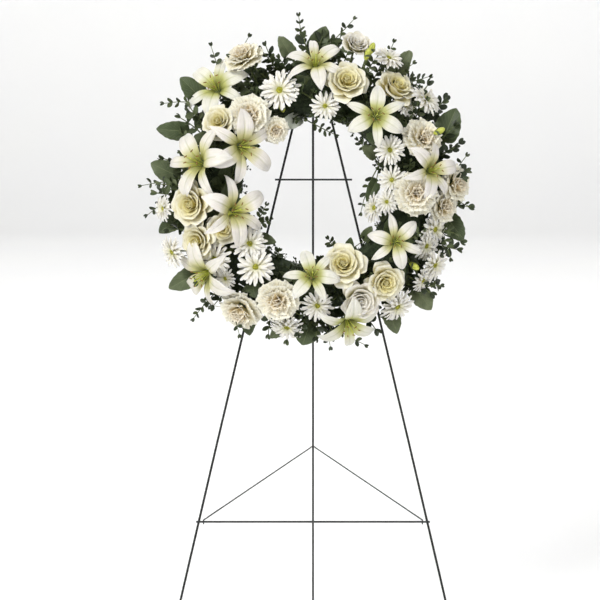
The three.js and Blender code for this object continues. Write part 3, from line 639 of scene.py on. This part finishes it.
def makeRose(name, material, whorls=len(roseLook["whorls"])):
    parts = calyx()
    blanks = []
    for level, (count, own, start, steps) in enumerate(roseLook["whorls"][:whorls]):
        lifts = [(0, 0)] * 2 + ruffled(3, 0.4 + 0.35 * level)
        blank = petal("rose_blank", roseLook["bent"], walk(start, steps), roseLook["thick"], lifts)
        blanks.append(paint(blank, material))
        aside = moved(0, 0.72 + 0.6 * level, 0) @ turned(10 + 2 * level)
        for number in range(count):
            angle = 360 * number / count + 37 * level + vary(-7, 7)
            matrix = turned(angle) @ aside @ swayed((-5, 5), 4)
            parts.append(copied(blank, matrix, own + vary(-0.06, 0.08)))
    return assembled(name, parts, blanks)


# Carnations

carnationLook = {
    "thick": 0.5, "columns": 11, "fold": 0.16, "notch": 1.6,
    "cup": [(0, 0, -26), (0, 0, -22), (0, 0, -14), (0, 0, -8)], "cupRadii": [2.4, 5.5, 6.5, 7.5],
    # Whorls from the middle out: number of petals, their root, and steps to the tip
    "whorls": [
        (4, (0.5, -10), [(0, 76, 3, 0.6), (12, 86, 8, 0.7), (10, 92, 11, 1), (7, 84, 12, 1.4)]),
        (6, (1.6, -13), [(0, 68, 3, 0.6), (14, 76, 9, 0.7), (12, 74, 14, 1), (8, 58, 15, 1.3)]),
        (8, (2.2, -15), [(0, 54, 3, 0.6), (15, 60, 10, 0.6), (14, 54, 16, 0.8), (9, 30, 18, 1.1)]),
        (9, (2.8, -17), [(0, 38, 3, 0.6), (17, 44, 10, 0.5), (15, 34, 18, 0.7), (10, 10, 21, 1)]),
        (10, (3, -19), [(0, 24, 3, 0.6), (17, 30, 10, 0.5), (16, 16, 18, 0.6), (10, -8, 22, 0.9)]),
    ],
}


def frilledPetal(start, steps):  # a fan whose outer edge is pleated and notched
    columns = carnationLook["columns"]
    section = []
    for column in range(columns):
        pleat = carnationLook["fold"] * (1 if column % 2 else -1)
        section.append((2 * column / (columns - 1) - 1, pleat * vary(0.4, 1.2)))
    rows = walk(start, steps)
    blank = petal("frilled_blank", section, rows, carnationLook["thick"], notch=carnationLook["notch"])
    return paint(blank, carnationPetal)


def makeCarnation(name):
    parts = [greenTube(carnationLook["cup"], carnationLook["cupRadii"], 12)]
    blanks = []
    for level, (count, start, steps) in enumerate(carnationLook["whorls"]):
        pair = [frilledPetal(start, steps) for _ in range(2)]
        blanks += pair
        for number in range(count):
            angle = 360 * number / count + 23 * level + vary(-8, 8)
            matrix = turned(angle) @ swayed((-8, 8), 16)
            parts.append(copied(pair[number % 2], matrix, 0.12 + 0.18 * level + vary(-0.1, 0.1)))
    return assembled(name, parts, blanks)


# Daisy chrysanthemums

mumLook = {
    "section": [(-1, 0.35), (-0.35, 0.05), (0.35, 0.05), (1, 0.35)], "thick": 0.5, "ruffle": 0.4,
    "cup": [(0, 0, -10), (0, 0, -6), (0, 0, -2)], "cupRadii": [2, 5, 6.5], "button": (6, 6, 3.4),
    # Rings of florets on the button: their number, radius and height
    "florets": [(1, 0, 3.9), (6, 1.9, 3.6), (11, 3.7, 2.9), (15, 5.3, 1.6)], "floretRadius": 0.8,
    # Layers from the outside in: number of petals, their root, and steps to the tip
    "layers": [
        (16, (4, -2),
         [(0, 16, 1.2, 1), (8, 10, 2.5, 0.9), (9, 3, 3, 0.8), (8, -4, 3, 0.7), (4.4, -12, 2.1, 0.6),
          (1.5, -20, 0.8, 0.5)]),
        (15, (4, -1),
         [(0, 30, 1.2, 1), (8, 22, 2.4, 0.9), (8, 12, 3, 0.8), (6.5, 2, 2.8, 0.7), (4, -8, 2, 0.6),
          (1.3, -16, 0.8, 0.5)]),
        (12, (3.5, 0),
         [(0, 48, 1.1, 1), (6, 38, 2.2, 0.9), (6, 26, 2.6, 0.8), (5, 12, 2.4, 0.7), (3.4, 0, 1.6, 0.6),
          (1, -8, 0.7, 0.5)]),
    ],
}


def makeMum(name):
    look = mumLook
    parts = [greenTube(look["cup"], look["cupRadii"], 10)]
    blanks = []
    for level, (count, start, steps) in enumerate(look["layers"]):
        pair = []
        for _ in range(2):
            lifts = [(0, 0)] * 2 + ruffled(3, look["ruffle"])
            blank = petal("mum_blank", look["section"], walk(start, steps), look["thick"], lifts, rounds=0)
            pair.append(paint(blank, mumPetal))
        blanks += pair
        for number in range(count):
            angle = 360 * (number + 0.5 * level) / count + vary(-5, 5)
            stretch = sized(vary(0.9, 1.06), 1, 1)
            matrix = turned(angle) @ swayed((-6, 4), 14) @ stretch
            parts.append(copied(pair[number % 2], matrix, vary(0.2, 1)))
    parts.append(paint(ball((0, 0, 0.5), 1, look["button"], 8, 16), floretGreen))
    for circle, (count, radius, height) in enumerate(look["florets"]):
        for number in range(count):
            turn = math.radians(360 * (number + 0.4 * circle) / count)
            place = (radius * math.cos(turn), radius * math.sin(turn), height)
            parts.append(paint(ball(place, look["floretRadius"], (1, 1, 1.2), 4, 5), floretGreen))
    return assembled(name, parts, blanks)


lilyVariants = [makeLily("lily_variant") for _ in range(3)]
roseVariants = {
    "yellow": [makeRose("rose_variant", rosePetal) for _ in range(3)],
    "pale": [makeRose("rose_variant", paleRosePetal)],
    "young": [makeRose("rose_variant", paleRosePetal, whorls=6)],
}
carnationVariants = [makeCarnation("carnation_variant") for _ in range(2)]
mumVariants = [makeMum("mum_variant") for _ in range(3)]
print("flower heads modelled")


# The ring's own frame: x right, y up along the legs, z out to the viewer, in millimetres. Heads sit on a
# crown over the foam's core line and face outwards from it, those at its edge a little less.

ring = {"radius": 192, "halfWidth": 42, "foamMiddle": 35.1, "forkOut": 70.1, "legRun": 200, "legRise": 1310}
# root and peg: where stems stand in the foam. eye: the point that the photo was taken from
crownLook = {"centreOut": 40, "limit": 0.93, "facing": 0.75, "rootOut": 36, "rootShare": 0.3,
             "rootLimit": 20, "pegOut": 28, "pegDepth": 20, "pegProud": 8, "knot": 4.4, "eyeUp": -211,
             "eyeOut": 3363}


def ringMatrix():
    lean = math.atan2(ring["legRun"], ring["legRise"])
    out = Vector((0, -math.cos(lean), math.sin(lean)))
    up = Vector((0, math.sin(lean), math.cos(lean)))
    low, high = (Vector(corner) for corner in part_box("foam_ring"))
    middle = (low + high) / 2 - out * ring["foamMiddle"] * 0.001
    axes = Matrix((Vector((1, 0, 0)), up, out)).transposed().to_4x4()
    return moved(*middle) @ axes @ sized(0.001)


ringPlace = ringMatrix()
print("ring at", [round(v, 4) for v in ringPlace.translation])


def onRing(turn, radius, up, sideways=0):
    outward = Vector((math.cos(turn), math.sin(turn), 0))
    return outward * radius + Vector((-outward.y, outward.x, 0)) * sideways + Vector((0, 0, up))


def drawnIn(right, up, out):  # where a spot of the photo lies at this height above the ring
    share = 1 - out / crownLook["eyeOut"]
    return Vector((right * share, crownLook["eyeUp"] + (up - crownLook["eyeUp"]) * share, out))


def seat(right, up, crown, lean=(0, 0)):
    past = math.hypot(right, up) - ring["radius"]
    radius = max(crown, abs(past) / crownLook["limit"])
    tilt = math.asin(past / radius)
    place = drawnIn(right, up, crownLook["centreOut"] + radius * math.cos(tilt))
    outward = Vector((right, up, 0)).normalized()
    facing = outward * math.sin(tilt * crownLook["facing"])
    facing += Vector((lean[0], lean[1], math.cos(tilt * crownLook["facing"])))
    shifted = max(-crownLook["rootLimit"], min(crownLook["rootLimit"], past * crownLook["rootShare"]))
    root = outward * (ring["radius"] + shifted)
    root.z = crownLook["rootOut"]
    return place, facing.normalized(), root


def facingMatrix(place, facing, turn, size):
    across = (Vector((1, 0, 0)) - facing * facing.x).normalized()
    along = facing.cross(across)
    axes = Matrix((across, along, facing)).transposed().to_4x4()
    return moved(*place) @ axes @ turned(turn) @ sized(size)


def placed(piece, node):  # carries a finished piece to its place, where it stands for a node
    piece.data.transform(ringPlace)
    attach(piece, flowerBody)
    if node:
        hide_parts(node)


# A spec is right, up, size and turn, and where it's needed a lean and a crown of its own
def bloom(node, head, spec, crown, depth):
    right, up, size, turn = spec[:4]
    lean = spec[4] if len(spec) > 4 else (0, 0)
    place, facing, root = seat(right, up, spec[5] if len(spec) > 5 else crown, lean)
    flower = copied(head, facingMatrix(place, facing, turn, size))
    neck = place - facing * depth * size
    bend = neck * 0.45 + root * 0.55 + facing * 4
    stem = greenTube([neck + facing * 3, neck, bend, root], [1.9, 2.1, 2.1, 2], 8)
    placed(joined(node, [flower, stem]), node)


lilyPlaces = [
    (5, 262, 0.84, 35), (-196, 212, 0.94, 20, (0.35, -0.3)), (-138, 90, 1, -35, (0.35, 0)),
    (-234, 61, 1.04, -5, (-0.25, 0.1)), (126, 153, 0.84, -30), (240, 44, 0.84, 15, (0.2, 0)),
    (-222, -168, 1.04, -10, (-0.25, -0.1)), (-2, -166, 0.78, -8, (0, 0.1)), (-154, -38, 0.98, 35, (0.3, 0)),
    (166, -100, 0.76, 40, (0.1, 0)), (73, -268, 0.92, -35, (0.1, -0.1)),
]
rosePlaces = [
    (67, 221, 0.95, 10), (166, 209, 0.95, 40), (-242, -26, 1.05, 25), (-180, -74, 0.78, 0, (0, 0), 72),
    (-230, -98, 0.85, 50), (61, -146, 1, 15), (144, -180, 0.9, 30), (95, -216, 0.92, 60),
    (86, 294, 0.76, 0, (0, -0.3)), (-188, 140, 0.8, 20),
]
roseKinds = ["yellow"] * 7 + ["pale", "young", "yellow"]
carnationPlaces = [
    (-140, 272, 0.9, 0), (-128, 153, 0.95, 8), (221, 107, 0.95, 16), (286, 16, 0.92, 4), (-146, -238, 1, 12),
    (-70, -219, 0.95, 20), (207, -3, 0.98, 6), (262, -30, 0.8, 10), (-75, 123, 0.62, 14),
]
# Root (angle, radius) of each spray and its heads (right, up, size)
mumSprays = [
    ((98, 196), [(24, 172, 0.85), (-67, 203, 1.2)]),
    ((50, 205), [(151, 267, 0.95), (226, 184, 1.05), (184, 172, 0.8)]),
    ((7, 180), [(154, 84, 0.9), (158, 24, 0.85), (123, -32, 0.9), (148, -20, 0.75)]),
    ((-33, 205), [(243, -75, 1.05), (226, -108, 0.9), (243, -146, 1), (219, -177, 0.75), (168, -229, 1.1)]),
    ((-98, 200), [(-52, -270, 1.05), (9, -227, 0.95)]),
    ((216, 200), [(-299, -33, 0.8), (-281, -120, 0.95), (-196, -134, 1.05), (-127, -104, 1.05),
                  (-115, -150, 1.1), (-175, -173, 0.7)]),
]

for number, spec in enumerate(lilyPlaces):
    bloom(f"lily_{number + 1}", lilyVariants[number % 3], spec, 102, 30)
print("lilies placed")
for number, (spec, kind) in enumerate(zip(rosePlaces, roseKinds)):
    heads = roseVariants[kind]
    bloom(f"rose_{number + 1}", heads[number % len(heads)], spec, 86, 22)
for number, spec in enumerate(carnationPlaces):
    bloom(f"carnation_{number + 1}", carnationVariants[number % 2], spec, 84, 20)
print("roses and carnations placed")
for number, ((angle, radius), heads) in enumerate(mumSprays):
    root = onRing(math.radians(angle), radius, crownLook["rootOut"])
    fork = Vector((root.x, root.y, ring["forkOut"]))
    parts = [greenTube([root, fork], [2.6, 2.6], 9), paint(ball(fork, crownLook["knot"]), stemGreen)]
    for place, (right, up, size) in enumerate(heads):
        middle, facing, _ = seat(right, up, 72)
        parts.append(copied(mumVariants[(number + place) % 3],
                            facingMatrix(middle, facing, 11 * place, size)))
        neck = middle - facing * 6 * size
        bow = neck * 0.5 + fork * 0.5 - Vector((0, 0, 4))
        parts.append(greenTube([neck, bow, fork], [1.6, 1.7, 1.8]))
    node = f"mum_spray_{number + 1}"
    placed(joined(node, parts), node)
print("chrysanthemums placed")


# Leaves and sprigs

leafLook = {
    "section": [(-1, 0.22), (-0.62, 0.2), (-0.25, 0.06), (0, 0), (0.25, 0.06), (0.62, 0.2), (1, 0.22)],
    "halves": [0.1, 0.5, 0.86, 0.82, 1.02, 0.92, 1, 0.84, 0.86, 0.68, 0.62, 0.42, 0.3, 0.04],
    "arch": [30, 28, 24, 18, 13, 8, 2, -4, -10, -16, -22, -28, -34, -40],
    "thick": 0.012, "teeth": 0.13, "wave": 0.12, "stalkRadii": [1.3, 1.1, 0.9],
}
leafletLook = {
    "section": [(-1, 0.25), (0, 0), (1, 0.25)], "thick": 0.05, "stemRadii": [1.4, 1.3, 1.1, 0.9, 0.7],
    "steps": [(0, 12, 0.1, 1), (0.2, 10, 0.6, 1), (0.25, 4, 1, 1), (0.25, -6, 0.95, 1), (0.2, -14, 0.55, 1),
              (0.1, -20, 0.1, 1)],
}


# A leaf one unit long and one wide, arched, with a toothed and waved edge
def leafBlank():
    count = len(leafLook["halves"])
    steps = []
    for number, (half, heading) in enumerate(zip(leafLook["halves"], leafLook["arch"])):
        tooth = 1 + leafLook["teeth"] * (1 if number % 2 else -1)
        steps.append((1 / (count - 1) if number else 0, heading, half * tooth * 0.5, 1))
    lifts = ruffled(count, leafLook["wave"])
    lifts[0] = lifts[-1] = (0, 0)
    return petal("leaf_blank", leafLook["section"], walk((0, 0), steps), leafLook["thick"], lifts)


leafBlanks = [leafBlank() for _ in range(3)]
leafletRows = walk((0, 0), leafletLook["steps"])
leaflet = petal("leaflet_blank", leafletLook["section"], leafletRows, leafletLook["thick"], rounds=0)


# The matrix that lays a blank from base to tip, its face turned to the viewer
def laidAlong(base, tip, width, roll):
    way = tip - base
    length = way.length
    along = way.normalized()
    face = Vector((0, 0, 1)) - along * along.z
    face = face.normalized() if face.length > 0.1 else Vector((along.z, 0, -along.x)).normalized()
    axes = Matrix((along, face.cross(along), face)).transposed().to_4x4()
    return moved(*base) @ axes @ turned(roll, "X") @ sized(length, width, length * 0.5)


def leaf(joint, base, tip, width, material, own):
    base, tip = Vector(base), Vector(tip)
    blank = leafBlanks[chance.randrange(3)]
    blade = copied(blank, laidAlong(base, tip, width, vary(-14, 14)), own)
    bend = (joint + base) / 2 + Vector((0, 0, 2))
    stalk = greenTube([joint, bend, base + (tip - base) * 0.06], leafLook["stalkRadii"], 6)
    return [paint(blade, material), stalk]


def curvePoint(start, middle, end, t):
    return start * (1 - t) ** 2 + middle * 2 * t * (1 - t) + end * t ** 2


# A thin wandering stem with oval leaves that stand out at uneven angles, and two at its tip
def sprig(joint, tip, pairs, reach, material, first=0.3):
    tip = Vector(tip)
    bend = Vector((vary(-0.1, 0.1), vary(-0.1, 0.1), 0.14)) * (tip - joint).length
    curve = (joint, (joint + tip) / 2 + bend, tip)
    points = [curvePoint(*curve, t) for t in (0, 0.25, 0.5, 0.75, 1)]
    parts = [greenTube(points, leafletLook["stemRadii"], 5)]

    def addLeaf(base, way, size):
        width = size * vary(0.24, 0.32)
        matrix = laidAlong(base, base + way.normalized() * size, width, vary(-50, 50))
        parts.append(paint(copied(leaflet, matrix, chance.random()), material))

    for number in range(pairs):
        for hand in (-1, 1):
            share = first + (0.96 - first) * (number + vary(-0.25, 0.3)) / pairs
            base = curvePoint(*curve, share)
            ahead = (curvePoint(*curve, share + 0.03) - base).normalized()
            side = Vector((-ahead.y, ahead.x, 0)).normalized()
            way = ahead * vary(0.2, 1.3) + side * hand + Vector((0, 0, vary(-0.5, 0.8)))
            addLeaf(base, way, reach * (1 - 0.25 * number / pairs) * vary(0.8, 1.2))
    ahead = (tip - points[3]).normalized()
    for hand in (-0.35, 0.3):
        addLeaf(tip - ahead * 1.5, ahead + Vector((-ahead.y, ahead.x, 0)) * hand, reach * 0.62)
    return parts


leafyStems = [
    {"angle": 95, "leaves": [((0, 262, 42), (27, 326, 58), 46), ((-40, 258, 36), (-69, 306, 54), 34)],
     "sprigs": [((-28, 340, 70), 5), ((80, 334, 64), 5)]},
    {"angle": 57, "leaves": [((150, 212, 40), (193, 279, 56), 41)],
     "sprigs": [((158, 288, 72), 5), ((196, 246, 76), 4), ((228, 222, 66), 5)]},
    {"angle": -2, "leaves": [((256, 96, 44), (283, 165, 60), 55), ((262, -50, 40), (299, -100, 53), 44)],
     "sprigs": [((300, 66, 72), 5), ((310, -34, 66), 5), ((270, -134, 66), 5)]},
    {"angle": -48,
     "leaves": [((198, -192, 44), (235, -238, 58), 46), ((146, -228, 40), (167, -286, 54), 39)],
     "sprigs": [((250, -188, 72), 5)]},
    {"angle": -88,
     "leaves": [((-6, -262, 46), (-22, -307, 65), 57), ((-50, -250, 38), (-84, -295, 51), 34)],
     "sprigs": [((102, -304, 66), 5), ((34, -308, 74), 4)]},
    {"angle": -133,
     "leaves": [((-128, -226, 38), (-125, -290, 52), 39), ((-224, -158, 40), (-288, -196, 50), 44)],
     "sprigs": [((-144, -284, 74), 5), ((-234, -252, 66), 5)]},
    {"angle": 176, "leaves": [((-262, 26, 42), (-323, 55, 56), 46), ((-256, -48, 36), (-307, -86, 46), 37)],
     "sprigs": [((-324, -50, 74), 5), ((-336, 8, 68), 5)]},
    {"angle": 137,
     "leaves": [((-214, 172, 40), (-264, 225, 56), 46), ((-244, 118, 36), (-313, 121, 50), 41)],
     "sprigs": [((-200, 282, 66), 5), ((-126, 300, 66), 5), ((-292, 168, 76), 5)]},
    {"angle": 96, "inner": True, "silver": True, "leaves": [((-24, 142, 60), (-66, 114, 92), 34)],
     "sprigs": [((44, 108, 60), 4)]},
    {"angle": 22, "inner": True,
     "leaves": [((126, 66, 60), (94, 84, 84), 28), ((126, 22, 50), (104, -26, 66), 26)],
     "sprigs": [((88, 98, 56), 4), ((94, -44, 56), 4)]},
    {"angle": -68, "inner": True,
     "leaves": [((70, -124, 56), (74, -92, 78), 22), ((100, -100, 52), (116, -70, 72), 24)],
     "sprigs": [((30, -96, 62), 4)]},
    {"angle": 212, "inner": True, "leaves": [((-112, -92, 50), (-70, -104, 70), 26)],
     "sprigs": [((-92, -30, 60), 4), ((-84, -58, 72), 4)]},
]

for number, stem in enumerate(leafyStems):
    turn = math.radians(stem["angle"])
    way = -1 if stem.get("inner") else 1
    skin = ring["radius"] + way * ring["halfWidth"]
    root = onRing(turn, skin - way * crownLook["pegDepth"], crownLook["pegOut"])
    joint = onRing(turn, skin + way * crownLook["pegProud"], crownLook["pegOut"] + 2)
    parts = [greenTube([root, joint], [2, 2], 8), paint(ball(joint, crownLook["knot"]), stemGreen)]
    tone = silverLeaf if stem.get("silver") else greenLeaf
    for base, tip, width in stem["leaves"]:
        parts += leaf(joint, base, tip, width, tone, vary(0.2, 1))
    for tip, pairs in stem["sprigs"]:
        parts += sprig(joint, tip, pairs, 15, darkLeaf)
    node = f"leafy_stem_{number + 1}"
    placed(joined(node, parts), node)
print("leafy stems placed")


# Greenery that stands in the foam: short leaves between the blooms, a fringe along both edges, and buds.
# root and tip are radii, rootOut and tipOut heights over the ring's plane.

greenery = {
    "bed": {"count": 200, "sprigs": 90, "across": 38, "root": 56, "rootShare": 0.8, "tipShare": 1.35,
            "low": 68, "high": 106, "sideways": 36, "golden": 0.618},
    "outer": {"count": 120, "root": 228, "rootOut": (20, 50), "tip": (262, 312), "tipOut": (22, 80),
              "sideways": 34},
    "inner": {"count": 44, "root": 156, "rootOut": (20, 50), "tip": (129, 142), "tipOut": (36, 88),
              "sideways": 18},
    "edge": {"count": 56, "root": 226, "rootOut": (16, 40), "tip": (250, 282), "tipOut": (14, 60),
             "sideways": 20},
    "sprigLength": 60,
}
# Spots of the buds in the photo: right, up and out
budLook = {
    "spots": [(102, 250, 122), (110, 262, 108), (236, 106, 118), (190, -146, 112), (-156, -46, 120),
              (-58, 152, 96)],
    "size": (6.2, 6.2, 13), "ahead": 9, "rootFrom": 160, "rootTo": 224, "rootOut": 54, "sepal": (12, 6, 6),
}
sprigBlanks = []
for number in range(5):
    bow = vary(-8, 8)
    tone = greenLeaf if number in (1, 3) else darkLeaf
    tip = (greenery["sprigLength"], bow, 6)
    parts = sprig(Vector((0, 0, 0)), tip, 3 + number % 3, vary(14, 18), tone, 0.2)
    sprigBlanks.append(joined("sprig_blank", parts))


def sprigCopy(root, tip):
    turn = laidAlong(root, tip, 1, vary(-40, 40)).to_quaternion().to_matrix().to_4x4()
    scale = sized((tip - root).length / greenery["sprigLength"])
    return copied(sprigBlanks[chance.randrange(5)], moved(*root) @ turn @ scale)


def makeBed():
    look = greenery["bed"]
    leaves, sprigs = [], []
    for number in range(look["count"]):
        turn = 2 * math.pi * (number * look["golden"] % 1)
        across = vary(-look["across"], look["across"])
        root = onRing(turn, ring["radius"] + across * look["rootShare"], look["root"])
        up = vary(look["low"], look["high"]) - abs(across) * 0.4
        sideways = vary(-look["sideways"], look["sideways"])
        tip = onRing(turn, ring["radius"] + across * look["tipShare"], up, sideways)
        if number % 2 == 0 or number > 2 * look["sprigs"]:
            foot = root.lerp(tip, 0.3)
            tip += (tip - foot).normalized() * 16
            tone = darkLeaf if chance.random() < 0.55 else greenLeaf
            leaves += leaf(root, foot, tip, vary(20, 32), tone, chance.random())
        else:
            sprigs.append(sprigCopy(root, tip + (tip - root).normalized() * 14))
    return [joined("foliage_bed", leaves), joined("foliage_sprigs", sprigs)]


def rimWays(look):  # roots and tips all round one edge of the ring
    for number in range(look["count"]):
        turn = 2 * math.pi * (number + vary(-0.4, 0.4)) / look["count"]
        root = onRing(turn, look["root"], vary(*look["rootOut"]))
        radius = vary(*look["tip"])
        sideways = vary(-1, 1) * look["sideways"]
        yield number, root, onRing(turn, radius, vary(*look["tipOut"]), sideways)


def makeFringe():
    parts = []
    for edge in ("outer", "inner"):
        for _, root, tip in rimWays(greenery[edge]):
            parts.append(sprigCopy(root, tip))
    for number, root, tip in rimWays(greenery["edge"]):
        width = vary(24, 34)
        tone = darkLeaf if number % 3 else greenLeaf
        own = chance.random()
        parts += leaf(root, root.lerp(tip, 0.4), tip, width, tone, own)
    return joined("foliage_fringe", parts)


def makeBuds():
    parts = []
    for spot in budLook["spots"]:
        tip = Vector(spot)
        outward = Vector((tip.x, tip.y, 0)).normalized()
        radius = max(budLook["rootFrom"], min(budLook["rootTo"], math.hypot(tip.x, tip.y)))
        root = outward * radius + Vector((0, 0, budLook["rootOut"]))
        way = ((tip - root).normalized() + outward).normalized()
        turn = way.to_track_quat("Z", "Y").to_matrix().to_4x4()
        parts.append(greenTube([root, root.lerp(tip, 0.6) + Vector((0, 0, 3)), tip], [1.5, 1.4, 1.8]))
        bud = ball((0, 0, 0), 1, budLook["size"], 9)
        bud.data.transform(Matrix.Translation(tip + way * budLook["ahead"]) @ turn)
        parts.append(paint(bud, budGreen))
        hang = moved(4, 0, 0) @ turned(-70, "Y") @ sized(*budLook["sepal"])
        for number in range(3):
            sepal = copied(leaflet, moved(*tip) @ turn @ turned(120 * number) @ hang, 0.8)
            parts.append(paint(sepal, greenLeaf))
    return joined("buds", parts)


for piece in makeBed():
    placed(piece, None)
placed(makeFringe(), None)
placed(makeBuds(), None)
print("greenery placed")

models = lilyVariants + carnationVariants + mumVariants + sprigBlanks + leafBlanks + [leaflet]
for heads in roseVariants.values():
    models += heads
discard(models)


# The easel, the tray and the foam keep their shapes and get their finish

finishes = [
    (legPaint, ["front_leg_left", "front_leg_right", "rear_leg", "pivot_bar"]),
    (crossSteel, ["upper_cross_wire", "lower_cross_wire", "brace_wire"]),
    (pinSteel, ["tie_pin_1", "tie_pin_2", "tie_pin_3"]),
    (trayPlastic, ["tray_ring"]),
    # the foam's colour is partly its green and partly painted shade
    (foamGreenAndShade, ["foam_ring"]),
]
for material, nodes in finishes:
    for node in nodes:
        paint(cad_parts[node], material)
print("easel painted")

floor = setStudio()
paint(floor, floorPaint)
bpy.context.scene.view_settings.view_transform = "Standard"
